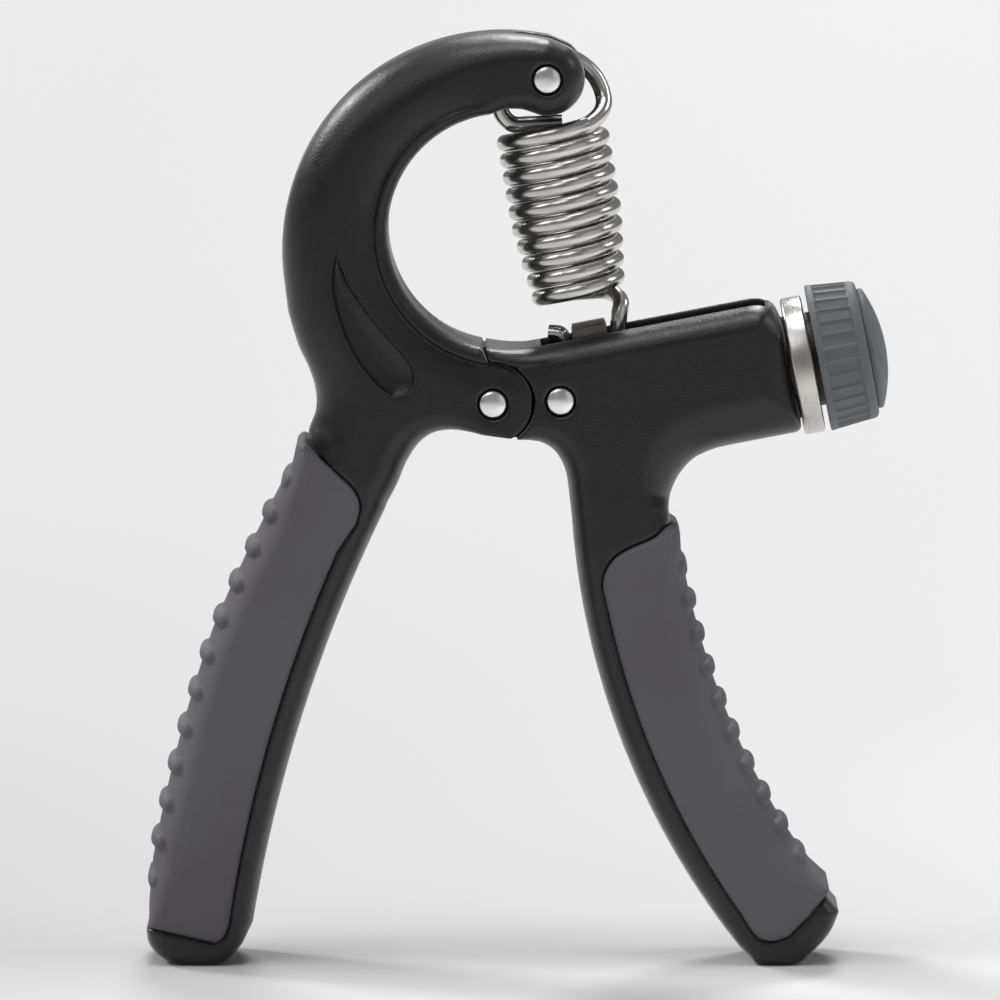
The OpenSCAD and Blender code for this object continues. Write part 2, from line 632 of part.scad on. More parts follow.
module slider_bracket() {
    bar = on_barrel(bar_s, bar_h);
    bar_inset = 0.1;   // the bar ends just inside the cheeks' outer faces
    color([0.3, 0.29, 0.28]) difference() {
        union() {
            intersection() {
                cross_rod(bar, bar_r, 2*(bracket_half - bar_inset));
                screw_box(bar_s - bar_r - past, bar_s + bar_r + past, bar_h - bar_r - past,
                    bar_h + bar_top, bracket_half + past);
            }
            both_sides() along_screw() translate([-bar_h, nut_half + fixed_fit, slider_s])
                cube([bar_h - cheek_foot - fixed_fit, cheek_t, slider_nut_l]);
        }
        slider_pin_rod(bracket_pin_d/2 + fixed_fit, 2*bracket_half + past);
    }
}

module bracket_pin() color([0.7, 0.7, 0.72]) slider_pin_rod(bracket_pin_d/2, 2*bracket_half);

// ---- spring ----
// Spring points are [a, b, y]: a down the spring from the top rivet, b to its right.
spring_end = [on_barrel(bar_s, bar_h).x, on_barrel(bar_s, bar_h).y];
spring_axis = unit(spring_end - top_pin);
spring_side = [-spring_axis.y, spring_axis.x];
bar_a = norm(spring_end - top_pin);
coil_shift = -0.7;     // the coil hangs a little to the left of the line between its ends
coil_r = (coil_d - wire_d)/2;
coil_end_r = (coil_end_d - wire_d)/2;
coil_l = coil_turns*coil_pitch;
tube_sides = 8;
turn_steps = 16;

function spring_point(p) =
    let (q = top_pin + p[0]*spring_axis + p[1]*spring_side) [q.x, p[2], q.y];

// The coil narrows over its lower half.
function coil_radius(turn) = coil_r - (coil_r - coil_end_r)*max(0, turn/coil_turns - 0.53)/0.47;
function coil_point(turn) =
    let (r = coil_radius(turn))
    [coil_start + turn*coil_pitch, coil_shift + r*cos(360*turn), -r*sin(360*turn)];

coil_from = 0.12;              // turns taken up by the bend to the loop
coil_to = coil_turns - 0.14;   // and by the bend to the hook
coil_steps = round((coil_to - coil_from)*turn_steps);
coil_path = [for (i = [0:coil_steps]) coil_point(mix(coil_from, coil_to, i/coil_steps))];

loop_centre = loop_r - wire_d/2 - rivet_d/2 - 0.1;
loop_knots = concat(
    [[coil_start - 0.3, 1.2, 0.3], [coil_start - 0.9, -4, 0.2], [coil_start - 1.6, -7.1, 0]],
    [for (i = [0:5]) let (q = polar(loop_r, 262 - 29*i)) [loop_centre + q.x, q.y, 0]],
    [[loop_centre - 0.2, loop_r, -0.9], [coil_start - 1.2, loop_r - 0.8, -3],
     coil_point(coil_from), coil_point(coil_from + 0.08)]);

hook_centre_a = bar_a - (hook_r - wire_d/2 - bar_r) + 0.1;
hook_knots = concat(
    [coil_point(coil_to - 0.08), coil_point(coil_to),
     [coil_start + coil_l + 0.3, coil_end_r - 1.2, 3.1],
     [coil_start + coil_l + 1.6, coil_end_r - 0.4, 1.2], [hook_centre_a - 1.6, hook_r + 0.6, 0.1]],
    [for (i = [0:5]) let (q = polar(hook_r, 68 - 31*i)) [hook_centre_a + q.x, q.y, 0]],
    [[hook_centre_a - 1.5, -hook_r - 0.4, 0.1], [hook_centre_a - 1.6, -hook_r - 1.9, 0.3]]);

wire_steps = 4;
function all_but(points, first, last) = [for (i = [first:len(points) - 1 - last]) points[i]];
loop_path = all_but(concat(curve(loop_knots, wire_steps), [loop_knots[len(loop_knots) - 1]]), 0, wire_steps);
hook_path = all_but(concat(curve(hook_knots, wire_steps), [hook_knots[len(hook_knots) - 1]]), wire_steps, 0);

function tangent(path, i, first, last) =
    i == 0 && !is_undef(first) ? unit(first) :
    i == len(path) - 1 && !is_undef(last) ? unit(last) :
    unit(path[min(i + 1, len(path) - 1)] - path[max(i - 1, 0)]);

// Round wire swept along a path, with its section carried along without twist.
module wire(path, start, first = undef, last = undef) {
    points = [for (p = path) spring_point(p)];
    turn = function (v) spring_point(v) - spring_point([0, 0, 0]);
    t = [for (i = [0:len(path) - 1])
        tangent(points, i, is_undef(first) ? undef : turn(first), is_undef(last) ? undef : turn(last))];
    n = [for (i = 0, v = turn(start); i < len(path);
            i = i + 1, v = i < len(path) ? v - (v*t[i])*t[i] : v) unit(v - (v*t[i])*t[i])];
    r = wire_d/2;
    m = tube_sides;
    polyhedron(
        points = [for (i = [0:len(path) - 1], k = [0:m - 1])
            points[i] + r*(cos(360*k/m)*n[i] + sin(360*k/m)*cross(t[i], n[i]))],
        faces = concat([[for (k = [0:m - 1]) k]],
            [for (i = [0:len(path) - 2], k = [0:m - 1])
                let (a = i*m + k, b = i*m + (k + 1) % m) each [[a, a + m, b + m], [a, b + m, b]]],
            [[for (k = [m - 1:-1:0]) (len(path) - 1)*m + k]]),
        convexity = 8);
}

function coil_direction(turn) = coil_point(turn + 0.01) - coil_point(turn - 0.01);

module spring_loop() color([0.75, 0.75, 0.76])
    wire(loop_path, [0, 0, 1], undef, coil_direction(coil_from));
module spring_coil() color([0.75, 0.75, 0.76])
    wire(coil_path, [0, 1, 0], coil_direction(coil_from), coil_direction(coil_to));
module spring_hook() color([0.75, 0.75, 0.76])
    wire(hook_path, [0, 1, 0], coil_direction(coil_to), undef);

hook_frame();
left_grip();
top_rivet();
pivot_rivet();
barrel_frame();
right_grip();
hinge_tongue();
tongue_rivet();
collar_ring();
end_bush();
lead_screw();
retaining_clip();
thrust_washer();
knob_hub();
knob_sleeve();
knob_nut();
knob_cap();
slider_nut();
slider_bracket();
bracket_pin();
spring_loop();
spring_coil();
spring_hook();
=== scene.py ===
import json
import math

import bmesh
import bpy
import numpy as np
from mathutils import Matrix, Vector


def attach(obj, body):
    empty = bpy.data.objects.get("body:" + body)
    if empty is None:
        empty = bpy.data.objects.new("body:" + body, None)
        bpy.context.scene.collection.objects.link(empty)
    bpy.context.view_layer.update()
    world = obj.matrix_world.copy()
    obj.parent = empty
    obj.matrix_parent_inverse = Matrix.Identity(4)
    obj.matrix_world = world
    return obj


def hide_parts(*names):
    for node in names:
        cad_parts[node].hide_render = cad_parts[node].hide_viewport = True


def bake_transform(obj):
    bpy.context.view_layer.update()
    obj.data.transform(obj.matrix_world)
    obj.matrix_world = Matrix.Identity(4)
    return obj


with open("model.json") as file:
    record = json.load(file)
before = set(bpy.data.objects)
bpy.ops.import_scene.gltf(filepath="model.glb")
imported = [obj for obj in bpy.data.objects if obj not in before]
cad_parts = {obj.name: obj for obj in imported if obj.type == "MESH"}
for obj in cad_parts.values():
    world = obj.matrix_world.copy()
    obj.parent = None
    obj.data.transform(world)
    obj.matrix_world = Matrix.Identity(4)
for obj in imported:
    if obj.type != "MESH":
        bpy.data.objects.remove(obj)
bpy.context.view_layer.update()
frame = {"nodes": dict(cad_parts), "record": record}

MM = 0.001
STEP = 0.32   # mm between the field's samples

# ---------------------------------------------------------------- the part's sizes, in mm
PIVOT = np.array([-3.9, 93.0])
HOOK_CENTRE, HOOK_OUTER_R = PIVOT + [1.2, 24.8], 35.85
HOOK_INNER_CENTRE, HOOK_INNER_R = PIVOT + [2.2, 28.3], 19.4
TOP_PIN, TIP_R = PIVOT + [8.9, 53.3], 6.2
TONGUE_PIN = PIVOT + [11.1, 0.5]
SCREW_ORIGIN = PIVOT + [11.1, -1.5]
TILT = math.radians(10.9)
ALONG = np.array([math.cos(TILT), math.sin(TILT)])
RISE = np.array([-math.sin(TILT), math.cos(TILT)])
HALF, ROUND_DEPTH = 10.8, 8.2              # half depth of the levers, and their edges' deepest rounding
GRIP_HALF, GRIP_ROUND_DEPTH = 11.3, 9.3    # the same of the grips
CORE_HALF = 9.0                            # half depth of the leg inside its grip
LEFT_CENTRE, LEFT_R = np.array([193.1, -29.3]), 256.45
RIGHT_CENTRE, RIGHT_R = np.array([149.0, 87.5]), 123.4
LEFT_INNER_CENTRE, LEFT_INNER_R = np.array([202.5, -34.1]), 249.4
RIGHT_INNER_CENTRE, RIGHT_INNER_R = np.array([138.0, 82.8]), 129.2
LEFT_UNDER, RIGHT_UNDER = 1.3, 1.2         # how far a leg's outer side lies under its grip's
LEFT_WRAP, RIGHT_WRAP = 13.3, 13.6         # how far a grip wraps round its leg
LEFT_SKIN, RIGHT_SKIN = 2.6, 3.2           # thickness of the rubber over the leg's core
GRIP_FIT = 0.15                            # clearance between rubber and leg
KNUCKLE_R, GAP, SEAM = 6.4, 0.6, 0.42      # the knuckle, the gap round it and the seam above it
CLOSE, CLOSE_HALF = 0.07, 5.5              # the joint narrows to this gap between these depths
RIVET_SINK, RECESS_R = 1.1, 2.62           # a rivet head's recess in the lever's face
TONGUE_EYE_R, TONGUE_TAIL_R, TONGUE_HALF = 5.25, 3.55, 2.15
EAR_SLOT_R, FORK_HALF = 5.4, 2.1
# S is a place along the screw from SCREW_ORIGIN, and H a height above its axis.
BARREL_L, LIP_H, BARREL_DROP = 38.5, 11.4, 11.05
WALL_S, COLLAR_S, FACE_S, KNOB_S, KNOB_L = 36.4, 38.8, 42.3, 43.2, 8.3
COLLAR_DROP, COLLAR_SEAT_R, BUSH_R = 0.65, 8.43, 4.52
CHANNEL_R, SLOT_HALF, SLOT_START, SHALLOW_H = 6.3, 5.9, -1.2, 6
SCREW_START = 5.6
SLIDER_S, SLIDER_L = 5.8, 6.0
BAR_S, BAR_H, BAR_R, BAR_TOP = 7.1, 11.5, 2.95, 1.3


# ---------------------------------------------------------------- outlines
def polar(r, degrees):
    a = math.radians(degrees)
    return np.array([r*math.cos(a), r*math.sin(a)])


def lerp(a, b, t):
    return a + (b - a)*t


def arc(centre, r, first, last, steps, *extra):
    """Points on an arc; the radius and each extra is a number, or a pair that runs from end to end."""
    rows = []
    for i in range(steps + 1):
        t = i/steps
        here, *rest = [lerp(*e, t) if isinstance(e, tuple) else e for e in (r, *extra)]
        rows.append([*(centre + polar(here, lerp(first, last, t))), *rest])
    return rows


def curve(knots, steps):
    """Catmull-Rom through the knots, without the last one."""
    k = [np.array(q, float) for q in knots]
    rows = []
    for i in range(len(k) - 1):
        a, b, c, d = k[max(i - 1, 0)], k[i], k[i + 1], k[min(i + 2, len(k) - 1)]
        for j in range(steps):
            t = j/steps
            bend, twist = 2*a - 5*b + 4*c - d, 3*b - a - 3*c + d
            rows.append(list(0.5*(2*b + (c - a)*t + bend*t**2 + twist*t**3)))
    return rows


def on_barrel(s, h, *extra):
    return [*(SCREW_ORIGIN + s*ALONG + h*RISE), *extra]


def near(origin, x, z, *extra):
    return [origin[0] + x, origin[1] + z, *extra]


def all_near(origin, knots):
    return [near(origin, *q) for q in knots]


# Outline points are x, z and the width of the edge's rounding.
def hook_outline():
    crotch = [[-21.3, 76.2, 4.5], [-19.6, 79.4, 4.5], [-18.2, 82.8, 4.5], [-16.3, 85.8, 4.5]]
    crotch += all_near(PIVOT, ((-10.1, -5.2, 3.6), (-7.3, -4.5, 3), (-4.4, -4.6, 2), (-1.4, -5.2, 1)))
    foot = [[-61.1, 5.7, 2.5], [-60.6, 3, 3], [-58.6, 0.9, 3], [-55.8, -0.4, 2.4],
            [-50.4, -0.5, 2], [-47.4, 0.9, 2], [-44.9, 3.8, 2.6]]
    return np.array(
        arc(TOP_PIN, TIP_R, -100, 55, 24, 3.4)
        + arc(HOOK_CENTRE, HOOK_OUTER_R, 77, 118, 26, (3.4, 7.5))
        + arc(HOOK_CENTRE, HOOK_OUTER_R, 120, 188, 48, 7.5)
        + curve([[-37.6, 107.8, 7.5], [-35.9, 102.2, 7.5], [-34, 98, 7.5],
                 [-33, 94.4, 7.5], [-33.1, 91, 7.5], [-34.3, 87.8, 7.2]], 6)
        + arc(LEFT_CENTRE, LEFT_R - LEFT_UNDER, 153.2, 158, 12, (7.0, 2.4))
        + arc(LEFT_CENTRE, LEFT_R - LEFT_UNDER, 158.4, 171, 30, 2.4)
        + curve(foot, 6)
        + arc(LEFT_INNER_CENTRE, LEFT_INNER_R, 170.6, 154, 40, 4.2)
        + curve(crotch, 6)
        + arc(PIVOT, KNUCKLE_R, -62, 97, 40, 0.16)
        + [near(PIVOT, -1.82, 9.3, 0.3)]
        + arc(HOOK_INNER_CENTRE, HOOK_INNER_R, 257.8, 236, 12, (1.6, 2.4))
        + arc(HOOK_INNER_CENTRE, HOOK_INNER_R, 234, 98, 70, (2.4, 1.7))
        + curve(all_near(TOP_PIN, ((-7, -4.9, 2.0), (-4.4, -5, 2.8), (-2.4, -5.6, 3.2))), 4))


BARREL_CREST = all_near(PIVOT, ((-1.7 + SEAM, 9.18, 1.6), (2.2, 8.8, 2.2), (5.4, 8.9, 3), (8.2, 9.5, 3.6)))
BARREL_CREST += [on_barrel(3, LIP_H, 4)]


def barrel_outline():
    joint = all_near(PIVOT, ((-1.75 + SEAM, 9.2, 0.16), (-0.6 + SEAM, 5.9, 0.16),
                             (2.4, -4, 0.3), (3.3, -5.9, 1.0)))
    crotch = all_near(PIVOT, ((5.6, -6.1, 2.4), (8.2, -6.7, 3.4), (10.5, -8.5, 4), (12, -11.6, 4.2),
                              (12.6, -15.6, 4.2)))
    foot = [[38.8, 0.9, 2.2], [40.2, -0.4, 2], [45.6, -0.4, 2],
            [48.8, 1.9, 2.4], [51.8, 5.2, 3], [53.4, 9.2, 2.4]]
    under_barrel = [[25, 75.6, 3.5], [25.5, 78.1, 6], [27, 81.1, 7.5], [29.6, 83.7, 8],
                    on_barrel(24.6, -BARREL_DROP, 8)]
    end_corner = [on_barrel(BARREL_L - 0.1, LIP_H - 2.4, 5), on_barrel(BARREL_L - 1.4, LIP_H - 0.9, 4.5),
                  on_barrel(BARREL_L - 3.6, LIP_H - 0.1, 4), on_barrel(BARREL_L - 7, LIP_H, 4)]
    return np.array(
        joint
        + curve(crotch, 6)
        + arc(RIGHT_INNER_CENTRE, RIGHT_INNER_R, 184, 218.4, 50, 4.2)
        + curve(foot, 6)
        + arc(RIGHT_CENTRE, RIGHT_R + RIGHT_UNDER, 215.5, 187.7, 40, 2.4)
        + curve(under_barrel, 8)
        + [on_barrel(s, -BARREL_DROP, 8) for s in (27, 32, BARREL_L + 2)]
        + [on_barrel(BARREL_L + 2, 6, 5), on_barrel(BARREL_L + 0.6, LIP_H - 3.6, 5)]
        + curve(end_corner, 6)
        + [on_barrel(24, LIP_H, 4), on_barrel(12, LIP_H, 4)]
        + curve(BARREL_CREST[::-1], 6))


# The middle of the barrel's depth reaches closer to the hook here, so that no light shows through the seam.
JOINT_WEB = np.array(all_near(PIVOT, ((-1.79 + CLOSE, 9.0), (-0.64 + CLOSE, 6.0), (1.2, 6.0), (1.2, 8.4))))


def bead_line():
    """The edge that the bead follows: x, z, the bead's width and the depth of the groove behind it."""
    tip_end = all_near(TOP_PIN, ((2, -6, 2.1, 0), (-4.4, -5, 2.1, 0), (-7, -4.9, 2.1, 0.03)))
    fading_in = arc(HOOK_INNER_CENTRE, HOOK_INNER_R, 98, 128, 16, (2.1, 2.3), (0.1, 1.1))
    full = arc(HOOK_INNER_CENTRE, HOOK_INNER_R, 130, 257.8, 64, (2.3, 2.9), (1.1, 1.25))
    fading_out = [[x, z, 2.9, groove] for (x, z, _), groove in zip(BARREL_CREST, (1.2, 1.0, 0.6, 0.25, 0))]
    return np.array(curve(tip_end + fading_in[:1], 4) + fading_in + full + curve(fading_out, 6))


GRIP_ROUND, GRIP_END_ROUND = 5.5, 3.0


def left_grip_outline():
    neck_r, top_r, belly_r, foot_r = LEFT_R - 0.85, LEFT_R - 0.35, LEFT_R + 0.95, LEFT_R + 0.35
    upper_edge = [[-26.3, 73.4, 1], [-25.7, 76.3, 1], [-26.7, 78.9, 1], [-29.2, 81.4, 1], [-32.2, 84, 1]]
    return np.array(
        [[-34.6, 86.5, 1.6], [-35.3, 86.9, 3], [-36.1, 86.2, 3]]
        + arc(LEFT_CENTRE, (neck_r, top_r), 154.2, 156, 8, (GRIP_END_ROUND, GRIP_ROUND))
        + arc(LEFT_CENTRE, (top_r, belly_r), 156.3, 161, 20, GRIP_ROUND)
        + arc(LEFT_CENTRE, belly_r, 161.3, 169.4, 40, GRIP_ROUND)
        + arc(LEFT_CENTRE, (belly_r, foot_r), 169.6, 171.1, 8, (GRIP_ROUND, GRIP_END_ROUND))
        + [[-60.6, 6.3, 1.2], [-49.9, 3.8, 1]]
        + curve([[-49.3, 3.9, 1], [-48.2, 4.8, 1], [-47.2, 7.2, 1]], 5)
        + arc(LEFT_CENTRE, LEFT_R - LEFT_WRAP, 170.4, 156.2, 60, 1)
        + curve(upper_edge, 5))


def right_grip_outline():
    upper_edge = [[24.4, 72.6, 1], [22.4, 71, 1], [18.2, 69.1, 1],
                  [15.9, 67.5, 1], [14.4, 65, 1], [14.1, 62.4, 1]]
    return np.array(
        curve([[38.6, 6, 1], [40, 4.6, 1], [42.2, 4.1, 1], [45.2, 5, 1]], 5)
        + [[48.4, 8.4, 1.2], [51.7, 12.6, 1.4]]
        + arc(RIGHT_CENTRE, RIGHT_R, 215.6, 213, 8, (GRIP_END_ROUND, GRIP_ROUND))
        + arc(RIGHT_CENTRE, RIGHT_R, 212.6, 192, 60, GRIP_ROUND)
        + arc(RIGHT_CENTRE, RIGHT_R, 191.6, 188.8, 8, (GRIP_ROUND, GRIP_END_ROUND))
        + [[26.9, 71.4, 3], [26.3, 72.7, 3], [25.4, 73, 1.6]]
        + curve(upper_edge, 5)
        + arc(RIGHT_CENTRE, RIGHT_R + RIGHT_WRAP, 192.4, 215.2, 50, 1))


THUMB_RECESS = np.array(
    curve([[-29.6, 118.4], [-30.5, 113.5], [-29.5, 107.8], [-27, 101.4], [-23.2, 96.3], [-20, 94.1]], 8)
    + curve([[-17.6, 94.7], [-16.5, 97.3], [-17.5, 100.3],
             [-20.6, 103.9], [-24.4, 108.6], [-27.6, 113.4]], 8))
# The part of each leg that its grip wraps round.
LEFT_CORE = np.array(arc(LEFT_CENTRE, (LEFT_R - LEFT_SKIN - 1.6, LEFT_R - LEFT_SKIN), 152, 162, 30)
                     + arc(LEFT_CENTRE, LEFT_R - LEFT_SKIN, 162.3, 172.6, 30)
                     + [[-40, -4], [-5, 30], [-5, 95]])
RIGHT_CORE = np.array(arc(RIGHT_CENTRE, RIGHT_R + RIGHT_SKIN, 217.5, 185.6, 60)
                      + [[10, 78], [-5, 40], [30, -6]])
FORK = np.array(all_near(TOP_PIN, ((-10, -7), (-10.1, -1.5), (-5.4, 3.5), (-5, 9), (9, 9), (9, -8))))
TONGUE_SLOT = np.array(arc(PIVOT, EAR_SLOT_R, 98, 236, 30)
                       + all_near(PIVOT, ((0, -6.7), (1, -9), (9, -9), (9, 6.1), (0, 6.1))))


# ---------------------------------------------------------------- fields
# A field is about the distance to a body's surface in mm, above zero inside the body.
class Grid:
    """Sample points of the back half of a body that is alike at front and back."""

    def __init__(self, low, high, half):
        margin = 3*STEP
        self.x = np.arange(low[0] - margin, high[0] + margin, STEP)
        self.z = np.arange(low[1] - margin, high[1] + margin, STEP)
        self.y = np.arange(math.ceil((half + margin)/STEP) + 1)*STEP
        self.X, self.Z = np.meshgrid(self.x, self.z, indexing="ij")

    def deep(self, flat):
        return flat[:, None, :]

    @property
    def Y(self):
        return self.y[None, :, None]


def edge_distance(outline, X, Z, closed=True):
    """Distance to a closed outline, above zero inside it, and its other numbers at the nearest point.

    An open line has no inside, and its distance is above zero all round.
    """
    best = np.full(X.shape, 1e9)
    extra = np.zeros(X.shape + (outline.shape[1] - 2,))
    inside = np.full(X.shape, not closed)
    ends = np.roll(outline, -1, axis=0) if closed else outline[1:]
    for a, b in zip(outline, ends):
        d = b[:2] - a[:2]
        px, pz = X - a[0], Z - a[1]
        t = np.clip((px*d[0] + pz*d[1])/max(d @ d, 1e-12), 0, 1)
        square = (px - t*d[0])**2 + (pz - t*d[1])**2
        closer = square < best
        best[closer] = square[closer]
        if extra.shape[-1]:
            extra[closer] = a[2:] + t[closer][:, None]*(b[2:] - a[2:])
        if closed and a[1] != b[1]:
            inside ^= ((a[1] > Z) != (b[1] > Z)) & (X < d[0]*(Z - a[1])/d[1] + a[0])
    distance = np.sqrt(best)
    return np.where(inside, distance, -distance), extra


CRISP, BROAD = 0.25, 5.25      # edge widths in mm whose rounding is shallow, and as deep as it goes


def pillow(grid, t, w, half, round_depth, sink=0.0):
    """A flat body with its front and back edges rounded as quarter ellipses, deep where w is wide."""
    depth = grid.deep(round_depth*np.clip((w - CRISP)/(BROAD - CRISP), 0.05, 1))
    a = grid.deep(np.clip(w - t, 0, None)/w)
    b = np.clip(grid.Y + grid.deep(np.broadcast_to(sink, t.shape)) - (half - depth), 0, None)/depth
    rho = np.sqrt(a*a + b*b)
    slope = np.sqrt((a/grid.deep(w))**2 + (b/depth)**2)
    return np.where(rho < 1e-3, np.minimum(grid.deep(w), depth), (1 - rho)*rho/np.maximum(slope, 1e-6))


def smooth_min(a, b, k):
    h = np.clip(0.5 + 0.5*(b - a)/k, 0, 1)
    return b*(1 - h) + a*h - k*h*(1 - h)


def cut(body, cutter, k=0.5):
    return smooth_min(body, -cutter, k)


def join(a, b, k=0.5):
    return -smooth_min(-a, -b, k)


def prism(grid, outline, half_y):
    t, _ = edge_distance(outline, grid.X, grid.Z)
    return np.minimum(grid.deep(t), half_y - grid.Y)


def rod(grid, at, r):
    return r - np.hypot(grid.deep(grid.X) - at[0], grid.deep(grid.Z) - at[1]) + 0*grid.Y


def screw_axes(grid):
    """Each sample's place along the screw and its height above it."""
    dx, dz = grid.X - SCREW_ORIGIN[0], grid.Z - SCREW_ORIGIN[1]
    return grid.deep(dx*ALONG[0] + dz*ALONG[1]), grid.deep(dx*RISE[0] + dz*RISE[1])


def screw_box(grid, s0, s1, h0, h1, half_y):
    s, h = screw_axes(grid)
    return np.minimum(np.minimum(np.minimum(s - s0, s1 - s), np.minimum(h - h0, h1 - h)), half_y - grid.Y)


def screw_rod(grid, s0, s1, r, drop=0.0):
    s, h = screw_axes(grid)
    return np.minimum(np.minimum(s - s0, s1 - s), r - np.hypot(h + drop, grid.Y))


def rivet_recess(grid, at):
    return np.minimum(rod(grid, at, RECESS_R), grid.Y - (HALF - RIVET_SINK))


def step_up(x):
    x = np.clip(x, 0, 1)
    return x*x*(3 - 2*x)


def bead_sink(X, Z):
    """How far the face lies below its plane: a bead along the edge, a groove behind it, a shoulder."""
    t, e = edge_distance(bead_line(), X, Z, closed=False)
    width, groove = e[..., 0], e[..., 1]
    flank, crest, shoulder_width, shoulder_bend = 0.75, 0.08, 5.5, 2.4
    bead = crest + (groove - crest)*step_up((t - (width - flank))/flank)
    shoulder = groove*(1 - np.clip((t - width)/shoulder_width, 0, 1))**shoulder_bend
    return np.where(groove > 0.01, np.where(t < width, bead, shoulder), 0)


def thumb_sink(X, Z):
    """The thumb's recess: a crisp step round it, then a bowl."""
    step, flank, bowl, bowl_width = 0.35, 0.5, 1.2, 3
    t, _ = edge_distance(THUMB_RECESS, X, Z)
    return step*step_up(t/flank) + bowl*(1 - (1 - np.clip(t/bowl_width, 0, 1))**2)


def above_floor(grid):
    return grid.deep(grid.Z) + 0*grid.Y


# Widths in mm over which edges are smoothed.
FOOT_EDGE, RECESS_EDGE, JOINT_EDGE = 0.6, 0.35, 0.14
END_EDGE, SLOT_EDGE, SEAT_EDGE, CORE_EDGE = 1.4, 0.6, 0.4, 0.3


def hook_field(grid):
    t, e = edge_distance(hook_outline(), grid.X, grid.Z)
    sink = bead_sink(grid.X, grid.Z) + thumb_sink(grid.X, grid.Z)
    body = pillow(grid, t, e[..., 0], HALF, ROUND_DEPTH, sink)
    body = smooth_min(body, above_floor(grid), FOOT_EDGE)
    body = cut(body, prism(grid, FORK, FORK_HALF))
    for at in (TOP_PIN, PIVOT):
        body = cut(body, rivet_recess(grid, at), RECESS_EDGE)
    body = cut(body, prism(grid, TONGUE_SLOT, TONGUE_HALF))
    return seat(grid, body, left_grip_outline(), LEFT_CORE)


def barrel_field(grid):
    t, e = edge_distance(barrel_outline(), grid.X, grid.Z)
    body = pillow(grid, t, e[..., 0], HALF, ROUND_DEPTH, bead_sink(grid.X, grid.Z))
    s, _ = screw_axes(grid)
    body = smooth_min(body, BARREL_L - s + 0*grid.Y, END_EDGE)
    body = np.maximum(body, screw_rod(grid, BARREL_L - 2, FACE_S, COLLAR_SEAT_R, COLLAR_DROP))
    body = smooth_min(body, above_floor(grid), FOOT_EDGE)
    # the joint round the knuckle, wide at the faces and close in the middle
    body = np.maximum(body, prism(grid, JOINT_WEB, CLOSE_HALF))
    body = np.minimum(body, -rod(grid, PIVOT, KNUCKLE_R + CLOSE))
    body = cut(body, np.minimum(rod(grid, PIVOT, KNUCKLE_R + GAP), grid.Y - CLOSE_HALF), JOINT_EDGE)
    tongue = join(rod(grid, PIVOT, TONGUE_EYE_R), rod(grid, TONGUE_PIN, TONGUE_TAIL_R), 2.0)
    body = cut(body, np.minimum(tongue, TONGUE_HALF - grid.Y))
    body = cut(body, rivet_recess(grid, TONGUE_PIN), RECESS_EDGE)
    # the channel for screw and slider, open at the top, with a shallow end towards the joint
    start, over = SCREW_START - 0.4, LIP_H + 6
    channel = np.maximum(screw_rod(grid, start, WALL_S, CHANNEL_R),
                         screw_box(grid, start, WALL_S, 0, over, SLOT_HALF))
    shallow_end = screw_box(grid, SLOT_START, SCREW_START, SHALLOW_H, over, SLOT_HALF)
    body = cut(body, np.maximum(channel, shallow_end), SLOT_EDGE)
    body = cut(body, screw_rod(grid, WALL_S - 1, FACE_S + 3, BUSH_R))
    return seat(grid, body, right_grip_outline(), RIGHT_CORE)


def seat(grid, body, outline, core):
    """Takes the grip's place out of a leg: all of the grip's outline but the core."""
    cutter = np.minimum(prism(grid, outline, GRIP_HALF + 3) + GRIP_FIT, -prism(grid, core, CORE_HALF))
    return cut(body, cutter, SEAT_EDGE)


RIB_R, RIB_PROUD = 1.4, 0.95
RIB_END, RIB_TIP = 44, 16            # where a rib ends and how long its tip is, in degrees round the edge
RIB_FADE, RIB_LEAST = 1.2, 0.6       # over so many ribs from each end they shrink to this share


def grip_field(grid, outline, core, centre, first, last, count):
    t, e = edge_distance(outline, grid.X, grid.Z)
    w = e[..., 0]
    half, depth = GRIP_HALF, GRIP_ROUND_DEPTH
    body = pillow(grid, t, w, half, depth)
    # half-round ribs across the outer side, which end in round tips just inside the front and back
    turn = np.degrees(np.arctan2(grid.Z - centre[1], grid.X - centre[0])) % 360
    r = np.hypot(grid.X - centre[0], grid.Z - centre[1])
    place = (turn - first)/(last - first)*count
    rib = np.floor(place)
    off = (place - rib - 0.5)*abs(last - first)/count*math.pi/180*r
    a = np.clip(w - t, 0, None)/w
    b = np.clip(grid.Y - (half - depth), 0, None)/depth
    lean = np.degrees(np.arctan2(b, np.maximum(grid.deep(a), 1e-3)))
    fade = np.clip(np.minimum(place, count - place)/RIB_FADE, RIB_LEAST, 1)
    on_side = (w > 2.5) & (t < w) & (place > 0) & (place < count)
    reach = np.clip((lean - (RIB_END - RIB_TIP))/RIB_TIP, 0, 1)
    swell = np.sqrt(np.clip(1 - (grid.deep(off)/RIB_R)**2 - reach**2, 0, None))
    body = body + grid.deep(np.where(on_side, fade, 0))*RIB_PROUD*swell
    inside = prism(grid, core, CORE_HALF + GRIP_FIT) + GRIP_FIT*(grid.Y < CORE_HALF)
    return cut(body, inside, CORE_EDGE)


